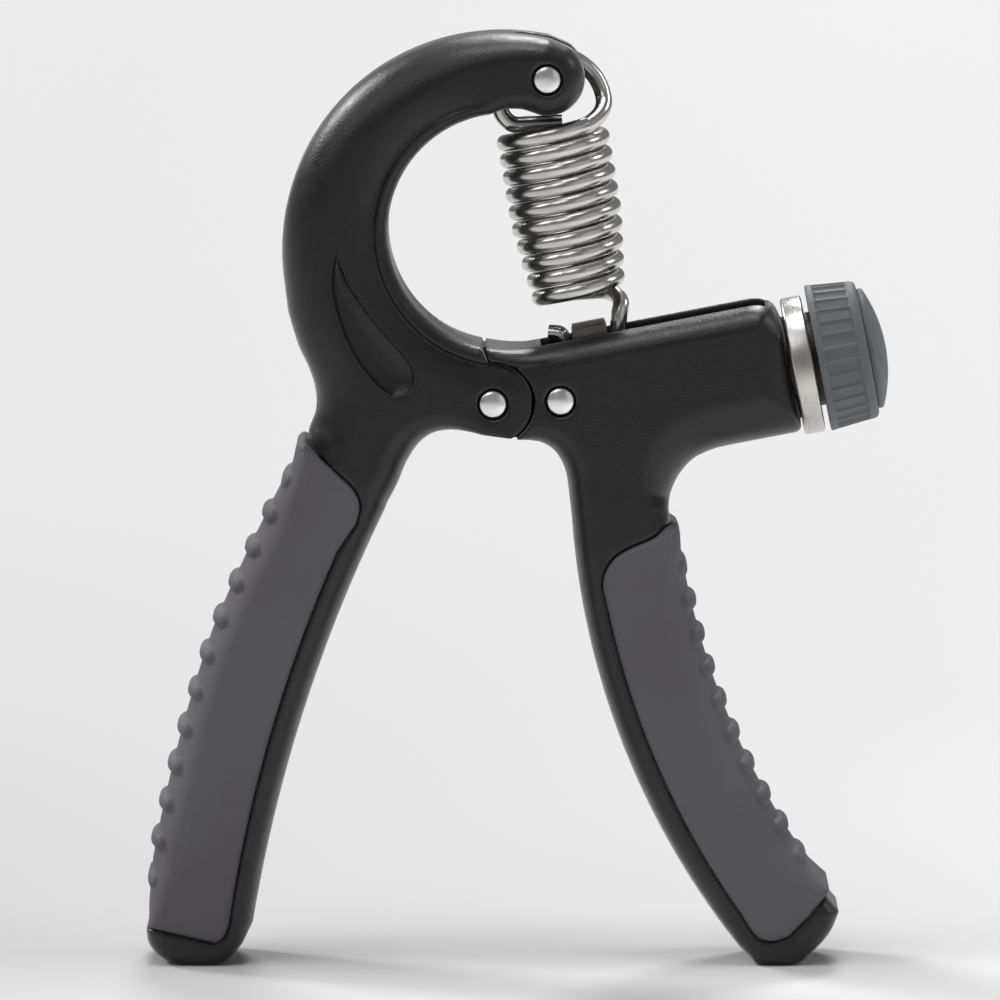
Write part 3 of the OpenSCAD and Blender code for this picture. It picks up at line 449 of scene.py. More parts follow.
# ---------------------------------------------------------------- meshes
def sample(field, p):
    """Value and slope of the field at points given in grid steps."""
    i = np.clip(np.floor(p).astype(int), 0, np.array(field.shape) - 2)
    f = p - i
    pairs = ((0, 0), (0, 1), (1, 0), (1, 1))
    c = {(a, b, d): field[i[:, 0] + a, i[:, 1] + b, i[:, 2] + d] for a in (0, 1) for b, d in pairs}
    fx, fy, fz = f.T
    x = {k: c[(0,) + k]*(1 - fx) + c[(1,) + k]*fx for k in pairs}
    y0, y1 = x[0, 0]*(1 - fy) + x[1, 0]*fy, x[0, 1]*(1 - fy) + x[1, 1]*fy
    gx = sum((c[1, b, d] - c[0, b, d])*(fy if b else 1 - fy)*(fz if d else 1 - fz) for b, d in pairs)
    gy = (x[1, 0] - x[0, 0])*(1 - fz) + (x[1, 1] - x[0, 1])*fz
    return y0*(1 - fz) + y1*fz, np.stack([gx, gy, y1 - y0], 1)


def surface_net(field):
    """One point in each cell that the surface passes through, and a quad across each cut edge."""
    size = np.array(field.shape)
    rings, places = [], []
    for a in range(3):
        low, high = [slice(None)]*3, [slice(None)]*3
        low[a], high[a] = slice(0, -1), slice(1, None)
        f0, f1 = field[tuple(low)], field[tuple(high)]
        p = np.argwhere((f0 > 0) != (f1 > 0))
        v0, v1 = f0[tuple(p.T)], f1[tuple(p.T)]
        at = p.astype(float)
        at[:, a] += v0/(v0 - v1)
        eb, ec = np.eye(3, dtype=int)[(a + 1) % 3], np.eye(3, dtype=int)[(a + 2) % 3]
        ring = np.stack([np.ravel_multi_index(q.T, size) for q in (p, p - eb, p - eb - ec, p - ec)], 1)
        ring[v0 <= 0] = ring[v0 <= 0][:, ::-1]
        rings.append(ring)
        places.append(at)
    rings, places = np.concatenate(rings), np.concatenate(places)
    _, quads = np.unique(rings, return_inverse=True)
    quads = quads.reshape(rings.shape)
    count = np.bincount(quads.ravel())
    points = np.stack([np.bincount(quads.ravel(), np.repeat(places[:, d], 4))/count for d in range(3)], 1)
    for _ in range(4):
        value, slope = sample(field, points)
        move = -value/np.maximum((slope**2).sum(1), 1e-6)
        step = slope*move[:, None]
        length = np.linalg.norm(step, axis=1)
        points += step*np.minimum(1, 0.4/np.maximum(length, 1e-9))[:, None]
    return points, quads


def new_object(name, points, faces, body, slot, replaced, sharp=None):
    """A smooth mesh from points in mm, which rides on a body and stands for CAD nodes."""
    mesh = bpy.data.meshes.new(name)
    mesh.from_pydata((np.asarray(points)*MM).tolist(), [], [list(f) for f in faces])
    mesh.validate()
    mesh.shade_smooth()
    obj = bpy.data.objects.new(name, mesh)
    bpy.context.scene.collection.objects.link(obj)
    if sharp is not None:
        work = bmesh.new()
        work.from_mesh(mesh)
        bmesh.ops.recalc_face_normals(work, faces=work.faces)
        work.to_mesh(mesh)
        work.free()
        mesh.set_sharp_from_angle(angle=math.radians(sharp))
    if body:
        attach(obj, body)
    if slot:
        mesh.materials.append(MATERIALS[slot])
    if replaced:
        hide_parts(*replaced)
    return obj


def field_object(name, grid, field, body, slot, replaced):
    whole = np.concatenate([field[:, :0:-1], field], axis=1).astype(np.float32)
    points, quads = surface_net(whole)
    low = np.array([grid.x[0], -grid.y[-1], grid.z[0]])
    return new_object(name, low + points*STEP, quads.tolist(), body, slot, replaced)


def ring_faces(rings, sides):
    """Quads between rings of points that follow one another, and a face on each end."""
    faces = []
    for i in range(rings - 1):
        for k in range(sides):
            j = (k + 1) % sides
            faces.append((i*sides + k, i*sides + j, (i + 1)*sides + j, (i + 1)*sides + k))
    return faces + [[start + k for k in range(sides)] for start in (0, (rings - 1)*sides)]


def column_faces(columns, n, caps):
    """Quads between columns of n points round an axis; without caps each column closes on itself."""
    faces = []
    for k in range(columns):
        j = (k + 1) % columns
        for i in range(n - 1 if caps else n):
            m = (i + 1) % n
            faces.append((k*n + i, j*n + i, j*n + m, k*n + m))
    if caps:
        faces += [[k*n + end for k in range(columns)] for end in (0, n - 1)]
    return faces


def lathe(profile, place, sides=96, caps=True):
    """Points and faces of a ring swept round an axis; profile is radius and height, place maps to mm."""
    points = []
    for k in range(sides):
        a = 2*math.pi*k/sides
        points += [place(r*math.cos(a), r*math.sin(a), h) for r, h in profile]
    return points, column_faces(sides, len(profile), caps)


def screw_place(drop=0.0):
    """Local z along the screw, local x down from it."""
    def place(x, y, z):
        p = SCREW_ORIGIN + z*ALONG - (x + drop)*RISE
        return [p[0], y, p[1]]
    return place


def rounded(corners, r=0.2, steps=3):
    """A profile with each inner corner replaced by a small curve."""
    c = [np.array(q, float) for q in corners]
    out = [c[0]]
    for a, b, d in zip(c, c[1:], c[2:]):
        u, v = a - b, d - b
        k = min(r, np.linalg.norm(u)/2.2, np.linalg.norm(v)/2.2)
        p, q = b + u/np.linalg.norm(u)*k, b + v/np.linalg.norm(v)*k
        out += [(1 - t)**2*p + 2*t*(1 - t)*b + t**2*q for t in np.linspace(0, 1, steps + 1)]
    return out + [c[-1]]


def tube(path, r, sides=20):
    """Points and faces of a round wire along a path."""
    p = np.array(path, float)
    t = np.gradient(p, axis=0)
    t /= np.linalg.norm(t, axis=1)[:, None]
    v = np.cross(t[0], [0.3, 0.9, 0.2])
    points = []
    for q, d in zip(p, t):
        v = v - (v @ d)*d
        v /= np.linalg.norm(v)
        w = np.cross(d, v)
        points += [q + r*(math.cos(a)*v + math.sin(a)*w) for a in np.arange(sides)*2*math.pi/sides]
    return points, ring_faces(len(p), sides)


# ---------------------------------------------------------------- materials
NOISE_SPAN = (0.3, 0.7)      # the values of a noise that its two tones stand at


def nodes_of(name):
    mat = bpy.data.materials.new(name)
    mat.use_nodes = True
    tree = mat.node_tree
    shader = tree.nodes["Principled BSDF"]
    coord = tree.nodes.new("ShaderNodeTexCoord")

    def add(kind, **values):
        node = tree.nodes.new(kind)
        for key, value in values.items():
            if key in node.inputs:
                node.inputs[key].default_value = value
            else:
                setattr(node, key, value)
        return node

    def noise(scale, detail=3.0, rough=0.55, stretch=None):
        n = add("ShaderNodeTexNoise", Scale=scale, Detail=detail, Roughness=rough)
        source = coord.outputs["Object"]
        if stretch:
            m = add("ShaderNodeMapping")
            m.inputs["Rotation"].default_value = stretch[0]
            m.inputs["Scale"].default_value = stretch[1]
            tree.links.new(source, m.inputs["Vector"])
            source = m.outputs["Vector"]
        tree.links.new(source, n.inputs["Vector"])
        return n.outputs["Fac"]

    def spread(value, low, high, into):
        m = add("ShaderNodeMapRange")
        m.inputs["From Min"].default_value, m.inputs["From Max"].default_value = NOISE_SPAN
        m.inputs["To Min"].default_value, m.inputs["To Max"].default_value = low, high
        tree.links.new(value, m.inputs["Value"])
        tree.links.new(m.outputs["Result"], into)

    def colours(value, low, high, into, limits=NOISE_SPAN):
        ramp = add("ShaderNodeValToRGB")
        ramp.color_ramp.elements[0].position, ramp.color_ramp.elements[1].position = limits
        ramp.color_ramp.elements[0].color = (*low, 1)
        ramp.color_ramp.elements[1].color = (*high, 1)
        tree.links.new(value, ramp.inputs["Fac"])
        tree.links.new(ramp.outputs["Color"], into)

    def bumps(*layers):
        """Each layer is a height and its depth in mm."""
        normal = None
        for value, depth in layers:
            b = add("ShaderNodeBump")
            b.inputs["Strength"].default_value = 1.0
            b.inputs["Distance"].default_value = depth*MM
            tree.links.new(value, b.inputs["Height"])
            if normal:
                tree.links.new(normal, b.inputs["Normal"])
            normal = b.outputs["Normal"]
        tree.links.new(normal, shader.inputs["Normal"])

    return mat, shader, noise, spread, colours, bumps


def black_plastic():
    mat, shader, noise, spread, colours, bumps = nodes_of("black_plastic")
    colours(noise(140, 4), (0.007, 0.007, 0.0073), (0.010, 0.010, 0.0103), shader.inputs["Base Color"])
    spread(noise(420, 4), 0.31, 0.43, shader.inputs["Roughness"])
    shader.inputs["Specular IOR Level"].default_value = 0.5
    shader.inputs["Sheen Weight"].default_value = 0.6
    shader.inputs["Sheen Roughness"].default_value = 0.24
    bumps((noise(2400, 3, 0.6), 0.060), (noise(620, 2, 0.5), 0.022))
    return mat


def grey_rubber():
    mat, shader, noise, spread, colours, bumps = nodes_of("grey_rubber")
    colours(noise(28, 2), (0.112, 0.106, 0.123), (0.131, 0.128, 0.137), shader.inputs["Base Color"],
            (0.38, 0.62))
    spread(noise(300, 4), 0.62, 0.76, shader.inputs["Roughness"])
    shader.inputs["Specular IOR Level"].default_value = 0.3
    bumps((noise(3200, 3, 0.6), 0.018), (noise(500, 2), 0.012))
    return mat


def knob_plastic():
    mat, shader, noise, spread, colours, bumps = nodes_of("knob_plastic")
    colours(noise(160, 4), (0.138, 0.151, 0.163), (0.158, 0.171, 0.181), shader.inputs["Base Color"])
    spread(noise(500, 3), 0.5, 0.64, shader.inputs["Roughness"])
    shader.inputs["Specular IOR Level"].default_value = 0.35
    bumps((noise(2400, 3, 0.6), 0.016), (noise(400, 2), 0.015))
    return mat


def metal(name, low, high, rough, grain, stretch=None, wave=0.01):
    mat, shader, noise, spread, colours, bumps = nodes_of(name)
    shader.inputs["Metallic"].default_value = 1.0
    colours(noise(180, 4), low, high, shader.inputs["Base Color"])
    spread(noise(*grain, stretch=stretch), *rough, shader.inputs["Roughness"])
    bumps((noise(*grain, stretch=stretch), wave), (noise(350, 2), 0.008))
    return mat


ACROSS_SCREW = ((0, TILT, 0), (9, 0.6, 0.6))   # streaks that run round the screw's axis
# Each metal's darker and lighter tone, its roughness, and the scale, detail and roughness of its grain,
# then where needed the grain's direction and the depth of its bumps in mm.
METALS = {
    "rivet_steel": ((0.90, 0.90, 0.91), (0.97, 0.97, 0.98), (0.18, 0.32), (900, 4, 0.6)),
    "collar_metal": ((0.56, 0.53, 0.50), (0.68, 0.65, 0.62), (0.24, 0.38), (700, 4, 0.6),
                     ACROSS_SCREW, 0.006),
    "bush_brass": ((0.62, 0.45, 0.2), (0.72, 0.54, 0.27), (0.25, 0.4), (700, 3, 0.6)),
    "plain_steel": ((0.46, 0.46, 0.47), (0.6, 0.6, 0.61), (0.25, 0.4), (800, 4, 0.6)),
    "bracket_steel": ((0.10, 0.09, 0.08), (0.17, 0.155, 0.14), (0.32, 0.46), (700, 4, 0.6)),
    "spring_steel": ((0.60, 0.59, 0.58), (0.72, 0.71, 0.70), (0.17, 0.28), (1200, 3, 0.6)),
}
MATERIALS = {"black_plastic": black_plastic(), "grey_rubber": grey_rubber(), "knob_plastic": knob_plastic()}
for metal_name, looks in METALS.items():
    MATERIALS[metal_name] = metal(metal_name, *looks)
SLOT_OF = {row["node"]: row["material_slot"] for row in frame["record"]["subparts"]}
for node_name, node_object in frame["nodes"].items():
    node_object.data.materials.clear()
    node_object.data.materials.append(MATERIALS[SLOT_OF[node_name]])

# ---------------------------------------------------------------- moulded levers and grips
# Each grid reaches from one corner of the piece's outline to the other.
LIP_R, LIP_PROUD = 0.22, 0.16      # the fine raised line round the thumb's recess


def hook_lever():
    grid = Grid((-61.5, -0.5), (11.8, 154.2), HALF)
    field_object("hook_shell", grid, hook_field(grid), "hook_lever", "black_plastic", ["hook_frame"])
    line = np.vstack([THUMB_RECESS, THUMB_RECESS[:2]])
    depth = HALF + LIP_PROUD - LIP_R - bead_sink(line[:, 0], line[:, 1])
    for name, side in (("recess_lip_front", -1), ("recess_lip_back", 1)):
        points, faces = tube(np.stack([line[:, 0], side*depth, line[:, 1]], 1), LIP_R, 10)
        new_object(name, points, faces, "hook_lever", "black_plastic", ["hook_frame"], sharp=60)


def barrel_lever():
    grid = Grid((-6.5, -0.5), (54.5, 112.0), HALF)
    field = barrel_field(grid)
    field_object("barrel_shell", grid, field, "barrel_lever", "black_plastic", ["barrel_frame"])


def left_grip():
    grid = Grid((-63.0, 2.5), (-25.0, 89.0), GRIP_HALF)
    field = grip_field(grid, left_grip_outline(), LEFT_CORE, LEFT_CENTRE, 153.9, 171, 12)
    field_object("left_rubber", grid, field, "hook_lever", "grey_rubber", ["left_grip"])


def right_grip():
    grid = Grid((12.0, 3.5), (53.5, 76.0), GRIP_HALF)
    field = grip_field(grid, right_grip_outline(), RIGHT_CORE, RIGHT_CENTRE, 215.6, 188.9, 10)
    field_object("right_rubber", grid, field, "barrel_lever", "grey_rubber", ["right_grip"])


hook_lever()
barrel_lever()
left_grip()
right_grip()


# ---------------------------------------------------------------- rivets
RIVET_R, SHANK_R, HEAD_RIM, FOOT_CHAMFER = 2.3, 2.0, 0.35, 0.15


def rivet(name, at, body, node):
    """A shank with a low domed head at front and back."""
    foot, top = HALF - RIVET_SINK, HALF - 0.05
    dome = [(RIVET_R*math.cos(a), foot + HEAD_RIM + (top - foot - HEAD_RIM)*math.sin(a))
            for a in np.linspace(0, 1.52, 12)]
    front = [(RIVET_R - FOOT_CHAMFER, foot), (RIVET_R, foot + FOOT_CHAMFER)] + dome
    profile = [(r, -h) for r, h in front[::-1]] + [(SHANK_R, -foot), (SHANK_R, foot)] + front
    points, faces = lathe(profile, lambda x, y, z: [at[0] + x, z, at[1] + y], 64)
    new_object(name, points, faces, body, "rivet_steel", [node], sharp=50)


rivet("top_rivet_domed", TOP_PIN, "hook_lever", "top_rivet")
rivet("pivot_rivet_domed", PIVOT, "hook_lever", "pivot_rivet")
rivet("tongue_rivet_domed", TONGUE_PIN, "barrel_lever", "tongue_rivet")

# ---------------------------------------------------------------- collar
COLLAR_R, COLLAR_BORE, COLLAR_CHAMFER = 11.4, 8.45, 0.3
collar = rounded([(COLLAR_BORE, COLLAR_S), (COLLAR_R - COLLAR_CHAMFER, COLLAR_S),
                  (COLLAR_R, COLLAR_S + COLLAR_CHAMFER), (COLLAR_R, FACE_S - COLLAR_CHAMFER),
                  (COLLAR_R - COLLAR_CHAMFER, FACE_S), (COLLAR_BORE, FACE_S)], 0.12)
points, faces = lathe(collar, screw_place(COLLAR_DROP), 128, caps=False)
new_object("collar_band", points, faces, "barrel_lever", "collar_metal", ["collar_ring"], sharp=40)

# ---------------------------------------------------------------- knob
KNOB_R, KNOB_TIP_R, KNOB_BORE, KNOB_FOOT_ROUND, KNOB_TIP_ROUND = 12.2, 11.4, 10.22, 0.3, 0.9
GROOVES, GROOVE_DEPTH, GROOVE_START, GROOVE_L, GROOVE_RUN_OUT = 32, 0.4, 1.2, 5.4, 0.6


def fall(r, reach):
    """How far a round edge of radius r falls back, where reach runs from 0 at its start to 1 at its end."""
    return r*(1 - math.sqrt(max(0, 1 - max(0, reach)**2)))


def knob_sleeve():
    pitch = 2*math.pi/GROOVES
    half_flute = [0.97, 0.93, 0.87, 0.78, 0.65, 0.45, 0.2]
    across = [-1] + [-q for q in half_flute] + [0] + half_flute[::-1]     # -1 on a ridge, 0 in a flute
    angles = [(i + 0.5 + q/2)*pitch for i in range(GROOVES) for q in across]
    groove_end = GROOVE_START + GROOVE_L
    edge = (-0.3, -0.2, -0.1, 0, 0.1, 0.2, 0.3)
    rows = [0, 0.1, 0.3, 0.7] + [GROOVE_START + q for q in edge]
    rows += list(np.linspace(GROOVE_START + 0.6, groove_end - 0.4, 7))
    rows += [groove_end + q for q in edge] + [KNOB_L - q for q in (0.8, 0.6, 0.4, 0.25, 0.1, 0)]
    place = screw_place()
    points = []
    for a in angles:
        inside = 1 - abs(2*(a/pitch % 1) - 1)**5
        column = [(KNOB_BORE, 0.0), (KNOB_R - 0.5, 0.0)]
        for s in rows:
            r = lerp(KNOB_R, KNOB_TIP_R, s/KNOB_L)
            r -= fall(KNOB_FOOT_ROUND, 1 - s/KNOB_FOOT_ROUND)
            r -= fall(KNOB_TIP_ROUND, (s - KNOB_L + KNOB_TIP_ROUND)/KNOB_TIP_ROUND)
            run = step_up(min(s - GROOVE_START, groove_end - s)/GROOVE_RUN_OUT + 0.5)
            column.append((r - GROOVE_DEPTH*inside*run, s))
        column += [(KNOB_BORE, KNOB_L)]
        points += [place(r*math.cos(a), r*math.sin(a), KNOB_S + s) for r, s in column]
    faces = column_faces(len(angles), len(column), caps=False)
    new_object("knob_ribs", points, faces, "adjuster", "knob_plastic", ["knob_sleeve"], sharp=55)


KNOB_END = KNOB_S + KNOB_L
CAP_R, CAP_RIM, CAP_RISE, PLUG_R, PLUG_BORE, PLUG_L = 10.0, 0.88, 2.2, 8.0, 6.2, 1.4


def knob_cap():
    """A dome with a short rim outside the sleeve, and a hollow plug inside it."""
    dome_r = (CAP_R**2 + CAP_RISE**2)/(2*CAP_RISE)
    dome = [(dome_r*math.sin(a), KNOB_END + CAP_RIM + CAP_RISE - dome_r*(1 - math.cos(a)))
            for a in np.linspace(math.asin(CAP_R/dome_r), 0.004, 24)]
    plug = [(PLUG_BORE, KNOB_END + 0.2), (PLUG_BORE, KNOB_END - PLUG_L),
            (PLUG_R, KNOB_END - PLUG_L), (PLUG_R, KNOB_END)]
    rim = [(CAP_R, KNOB_END), (CAP_R, KNOB_END + CAP_RIM), dome[2]]
    points, faces = lathe(rounded(plug + rim, 0.3, 4) + dome[3:], screw_place(), 128)
    new_object("knob_dome", points, faces, "adjuster", "knob_plastic", ["knob_cap"], sharp=50)


knob_sleeve()
knob_cap()

# ---------------------------------------------------------------- lead screw with its helical thread
SCREW_R, PITCH, THREAD, END_CHAMFER = 3.0, 2.0, 0.6, 0.45
CLIP_S, CLIP_W, CLIP_R, SCREW_END = 34.5, 0.8, 2.5, 50.8      # the clip's groove, and the screw's far end


def lead_screw():
    place = screw_place()
    sides = 48
    rows = np.concatenate([[SCREW_START, SCREW_START + 0.02, SCREW_START + 0.5],
                           np.arange(SCREW_START + 0.6, CLIP_S - 0.4, PITCH/16),
                           [CLIP_S - 0.2, CLIP_S, CLIP_S + 0.01, CLIP_S + CLIP_W - 0.01, CLIP_S + CLIP_W],
                           [36, 40, 45, SCREW_END - 0.5, SCREW_END]])
    points = []
    for s in rows:
        for k in range(sides):
            phase = abs(((s - SCREW_START)/PITCH - k/sides) % 1 - 0.5)*2
            run = np.clip((s - SCREW_START - 0.5)/0.5, 0, 1)*np.clip((CLIP_S - 0.6 - s)/0.8, 0, 1)
            r = SCREW_R - THREAD*np.clip(1.25 - 1.6*phase, 0, 1)*run
            if CLIP_S < s < CLIP_S + CLIP_W:
                r = CLIP_R
            if s in (rows[0], rows[-1]):
                r -= END_CHAMFER
            a = 2*math.pi*k/sides
            points.append(place(r*math.cos(a), r*math.sin(a), s))
    faces = ring_faces(len(rows), sides)
    new_object("screw_threaded", points, faces, "adjuster", "plain_steel", ["lead_screw"], sharp=35)


lead_screw()


# ---------------------------------------------------------------- slider bracket
def slab(outline, y0, y1, bevel=0.25):
    """A plate between two depths with bevelled rims; outline is s and height on the barrel."""
    o = np.array(outline, float)
    d = np.roll(o, -1, axis=0) - np.roll(o, 1, axis=0)
    normal = np.stack([d[:, 1], -d[:, 0]], 1)/np.linalg.norm(d, axis=1)[:, None]
    points, rings = [], []
    for a in np.linspace(0, math.pi/2, 4):
        rings.append((bevel*(1 - math.sin(a)), y0 + bevel*(1 - math.cos(a))))
    rings += [(i, y0 + y1 - y) for i, y in rings[::-1]]
    for inset, y in rings:
        for q in o - inset*normal:
            p = SCREW_ORIGIN + q[0]*ALONG + q[1]*RISE
            points.append([p[0], y, p[1]])
    return points, ring_faces(len(rings), len(o))


def merged(parts):
    points, faces = [], []
    for p, f in parts:
        faces += [[i + len(points) for i in face] for face in f]
        points += list(p)
    return points, faces


BAR_HALF, CHEEK_IN, CHEEK_OUT, CHEEK_LOW, CHEEK_BEVEL = 5.5, 3.9, 5.6, -2.6, 0.15
CHEEK_CUT = 0.06                     # share of each side that a corner's cut takes


def slider_bracket():
    """A half-round bar with a flat top, between two cheeks that go down beside the nut."""
    flat_edge = math.degrees(math.asin(BAR_TOP/BAR_R))
    round_side = [polar(BAR_R, a) for a in np.linspace(180 - flat_edge, 360 + flat_edge, 40)]
    bar = [[BAR_S + q[0], BAR_H + q[1]] for q in round_side]
    top, far = BAR_H - BAR_TOP, SLIDER_S + SLIDER_L
    corners = np.array([[SLIDER_S, top], [SLIDER_S, CHEEK_LOW], [far, CHEEK_LOW], [far, top - 1]])
    cheek = []
    for i in range(4):
        for other in (corners[i - 1], corners[(i + 1) % 4]):
            cheek.append(lerp(corners[i], other, CHEEK_CUT))
    points, faces = merged([slab(bar, -BAR_HALF, BAR_HALF), slab(cheek, CHEEK_IN, CHEEK_OUT, CHEEK_BEVEL),
                            slab(cheek, -CHEEK_OUT, -CHEEK_IN, CHEEK_BEVEL)])
    new_object("bracket_formed", points, faces, "slider", "bracket_steel", ["slider_bracket"], sharp=40)


slider_bracket()

# ---------------------------------------------------------------- spring
WIRE_R, WIRE_FIT = 1.37, 0.1
COIL_R, COIL_END_R = 7.93, 6.28
COIL_PITCH, COIL_TURNS, COIL_START = 2.9, 10, 8.4
LOOP_R, HOOK_R = 8.58, 4.7
COIL_SHIFT, TAPER_FROM = -0.7, 0.53
SPLIT_TURN = 6.9                # turns that belong to the upper piece
TURN_STEPS, BEND_STEPS = 56, 12
BAR_AT = SCREW_ORIGIN + BAR_S*ALONG + BAR_H*RISE
AXIS = (BAR_AT - TOP_PIN)/np.linalg.norm(BAR_AT - TOP_PIN)
SIDE = np.array([-AXIS[1], AXIS[0]])
BAR_A = np.linalg.norm(BAR_AT - TOP_PIN)
COIL_FROM, COIL_TO = 0.12, COIL_TURNS - 0.14


def coil_point(turn):
    """The coil narrows over the last part of its length."""
    r = COIL_R - (COIL_R - COIL_END_R)*max(0, turn/COIL_TURNS - TAPER_FROM)/(1 - TAPER_FROM)
    a = 2*math.pi*turn
    return [COIL_START + turn*COIL_PITCH, COIL_SHIFT + r*math.cos(a), -r*math.sin(a)]


def spring_points(path):
    """From down the spring, to its right and depth, to mm."""
    rows = []
    for a, b, y in path:
        q = TOP_PIN + a*AXIS + b*SIDE
        rows.append([q[0], y, q[1]])
    return rows


def coil_path(first, last):
    return [coil_point(t) for t in np.linspace(first, last, round((last - first)*TURN_STEPS))]


def spring_piece(name, path, replaced):
    """A length of wire between two places down the spring, on no body."""
    points, faces = tube(spring_points(path), WIRE_R)
    obj = new_object(name, points, faces, None, "spring_steel", replaced, sharp=60)
    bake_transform(obj)


def spring():
    # The knots go down the spring, to its right, and towards the back.
    loop_centre = LOOP_R - WIRE_R - SHANK_R - WIRE_FIT
    loop = [[COIL_START - 0.3, 1.2, 0.3], [COIL_START - 0.9, -4, 0.2], [COIL_START - 1.6, -7.1, 0]]
    loop += [[loop_centre + q[0], q[1], 0] for q in (polar(LOOP_R, 262 - 29*i) for i in range(6))]
    loop += [[loop_centre - 0.2, LOOP_R, -0.9], [COIL_START - 1.2, LOOP_R - 0.8, -3],
             coil_point(COIL_FROM), coil_point(COIL_FROM + 0.08)]
    hook_centre = BAR_A - (HOOK_R - WIRE_R - BAR_R) + WIRE_FIT
    coil_end = COIL_START + COIL_TURNS*COIL_PITCH
    hook = [coil_point(COIL_TO - 0.08), coil_point(COIL_TO), [coil_end + 0.3, COIL_END_R - 1.2, 3.1],
            [coil_end + 1.6, COIL_END_R - 0.4, 1.2], [hook_centre - 1.6, HOOK_R + 0.6, 0.1]]
    hook += [[hook_centre + q[0], q[1], 0] for q in (polar(HOOK_R, 68 - 31*i) for i in range(6))]
    hook += [[hook_centre - 0.2, -HOOK_R - 0.6, 0.1], [hook_centre - 0.5, -HOOK_R - 1.9, 0.3]]
    loop_path = curve(loop, BEND_STEPS)[:-BEND_STEPS]
    hook_path = curve(hook, BEND_STEPS)[BEND_STEPS:] + [hook[-1]]
    upper = loop_path + coil_path(COIL_FROM, SPLIT_TURN)
    lower = coil_path(SPLIT_TURN, COIL_TO) + hook_path[1:]
    spring_piece("spring_upper", upper, ["spring_loop", "spring_coil"])
    spring_piece("spring_lower", lower, ["spring_hook"])


spring()

# ---------------------------------------------------------------- floor, light and camera
FLOOR = 6.0
# Tones of the floor from front to back (y in metres, tone), along its left and its right. The dip near y =
# 0.012 is a painted shadow band under the object. The lighter tones just in front of it, from y = -0.08 to
# -0.035 and most of all on the right, are painted light that offsets the shadow which the rim lamps cast
# forwards. Farther back the tones grow lighter.
LEFT_TONES_WITH_PAINTED_SHADE = ((-2.0, 0.42), (-0.6, 0.48), (-0.08, 0.575), (-0.035, 0.555), (0.012, 0.495), (0.06, 0.52),
              (0.33, 0.59), (0.69, 0.633), (2.4, 0.646))
RIGHT_TONES_WITH_PAINTED_SHADE = ((-2.0, 0.28), (-0.6, 0.46), (-0.08, 0.84), (-0.035, 0.81), (0.012, 0.695), (0.06, 0.73),
               (0.33, 0.675), (0.69, 0.665), (2.4, 0.68))
TONES_APART = 0.13


def floor_material():
    mat = bpy.data.materials.new("floor")
    mat.use_nodes = True
    tree = mat.node_tree
    shader = tree.nodes["Principled BSDF"]
    shader.inputs["Roughness"].default_value = 0.9
    shader.inputs["Specular IOR Level"].default_value = 0.1
    coord = tree.nodes.new("ShaderNodeTexCoord")
    parts = tree.nodes.new("ShaderNodeSeparateXYZ")
    tree.links.new(coord.outputs["Object"], parts.inputs[0])

    def ranged(value, low, high):
        node = tree.nodes.new("ShaderNodeMapRange")
        node.inputs["From Min"].default_value, node.inputs["From Max"].default_value = low, high
        tree.links.new(value, node.inputs["Value"])
        return node.outputs["Result"]

    def depth_ramp(tones):
        first, last = tones[0][0], tones[-1][0]
        ramp = tree.nodes.new("ShaderNodeValToRGB")
        while len(ramp.color_ramp.elements) < len(tones):
            ramp.color_ramp.elements.new(0.5)
        for element, (y, tone) in zip(ramp.color_ramp.elements, tones):
            element.position = (y - first)/(last - first)
            element.color = (tone, tone, tone, 1)
        tree.links.new(ranged(parts.outputs["Y"], first, last), ramp.inputs["Fac"])
        return ramp.outputs["Color"]

    # the left and right tones, with their painted shadow band and painted light in front, blend across x
    mix = tree.nodes.new("ShaderNodeMix")
    mix.data_type = "RGBA"
    tree.links.new(ranged(parts.outputs["X"], -TONES_APART, TONES_APART), mix.inputs["Factor"])
    tree.links.new(depth_ramp(LEFT_TONES_WITH_PAINTED_SHADE), mix.inputs["A"])
    tree.links.new(depth_ramp(RIGHT_TONES_WITH_PAINTED_SHADE), mix.inputs["B"])
    tree.links.new(mix.outputs["Result"], shader.inputs["Base Color"])
    return mat


def stage_object(name, points, faces, mat):
    mesh = bpy.data.meshes.new(name)
    mesh.from_pydata(points, [], faces)
    mesh.materials.append(mat)
    obj = bpy.data.objects.new(name, mesh)
    bpy.context.scene.collection.objects.link(obj)


stage_object("floor", [(-FLOOR, -FLOOR, 0), (FLOOR, -FLOOR, 0), (FLOOR, FLOOR, 0), (-FLOOR, FLOOR, 0)],
             [(0, 1, 2, 3)], floor_material())

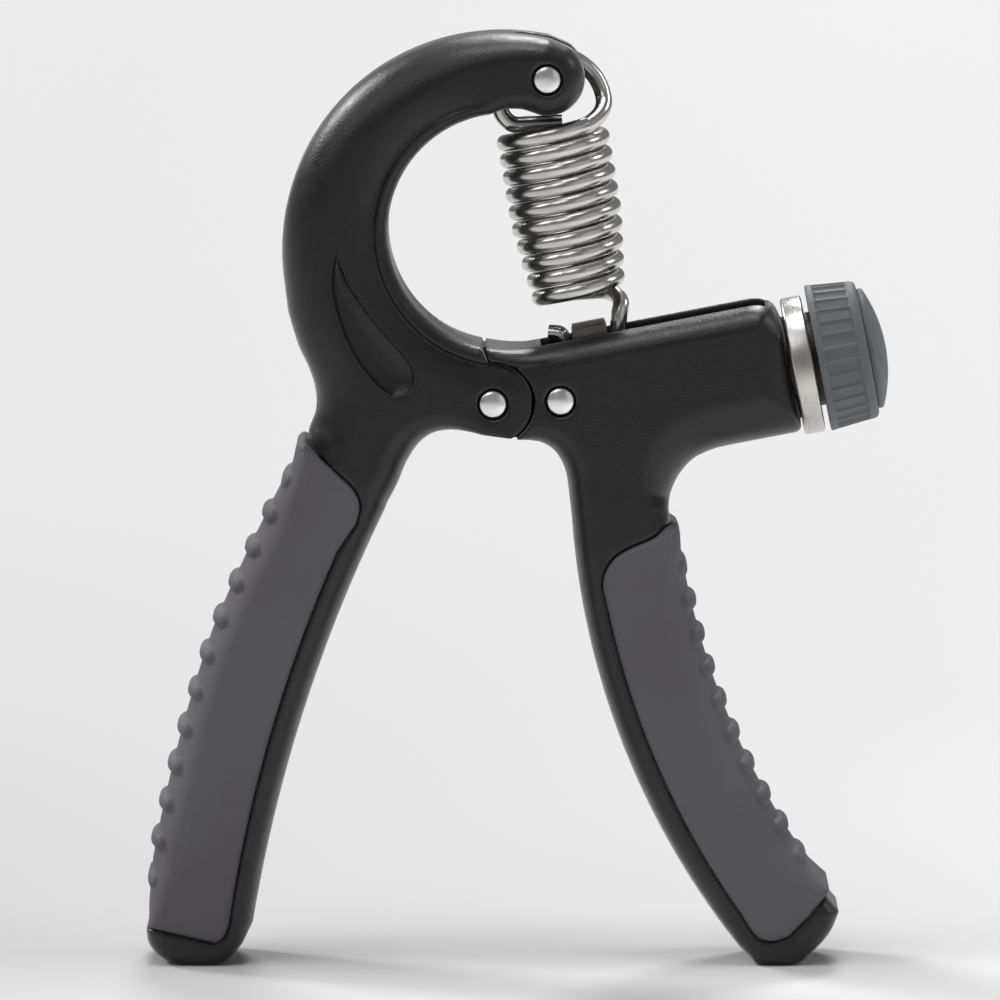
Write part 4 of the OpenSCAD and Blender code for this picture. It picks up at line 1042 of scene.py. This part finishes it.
world = bpy.data.worlds.new("studio")
bpy.context.scene.world = world
world.use_nodes = True
background = world.node_tree.nodes["Background"]
background.inputs["Color"].default_value = (0.9, 0.9, 0.9, 1)
STUDIO_LEVEL, SEEN_LEVEL = 0.22, 1.0      # the world as light, and as seen behind the object
light_path = world.node_tree.nodes.new("ShaderNodeLightPath")
level = world.node_tree.nodes.new("ShaderNodeMapRange")
level.inputs["To Min"].default_value, level.inputs["To Max"].default_value = STUDIO_LEVEL, SEEN_LEVEL
world.node_tree.links.new(light_path.outputs["Is Camera Ray"], level.inputs["Value"])
world.node_tree.links.new(level.outputs["Result"], background.inputs["Strength"])


def sun(name, towards, angle, strength):
    """Light without falloff that comes from a point on the sky's dome."""
    light = bpy.data.lights.new(name, "SUN")
    light.angle = math.radians(angle)
    light.energy = strength
    obj = bpy.data.objects.new(name, light)
    obj.rotation_euler = Vector(towards).to_track_quat("Z", "Y").to_euler()
    bpy.context.scene.collection.objects.link(obj)


# Each lamp's name, its place on the sky, its width in degrees and its strength.
SUNS = (("overhead", (-0.05, -0.06, 1), 26, 1.1),
        ("key_left", (-0.85, -0.42, 0.72), 24, 0.3),
        ("front_top", (-0.3, -0.66, 0.75), 28, 0.25),
        ("rim_left", (-0.65, 0.5, 0.55), 15, 1.5),
        ("rim_top", (0.05, 0.62, 0.6), 15, 1.3),
        ("rim_right", (0.8, 0.1, 0.5), 18, 0.35),
        ("fill_right", (0.9, -0.9, 0.3), 50, 0.15))
for row in SUNS:
    sun(*row)

ELEVATION, DISTANCE, LENS = math.radians(6.3), 1.8, 392.7
AIM = Vector((-0.00272, 0, 0.07614))
camera_data = bpy.data.cameras.new("camera")
camera_data.lens = LENS
camera_data.sensor_width = 36
camera_data.clip_start, camera_data.clip_end = 0.1, 50
camera = bpy.data.objects.new("camera", camera_data)
camera.location = AIM + DISTANCE*Vector((0, -math.cos(ELEVATION), math.sin(ELEVATION)))
camera.rotation_euler = (AIM - camera.location).to_track_quat("-Z", "Y").to_euler()
bpy.context.scene.collection.objects.link(camera)
bpy.context.scene.camera = camera
bpy.context.scene.view_settings.view_transform = "Standard"
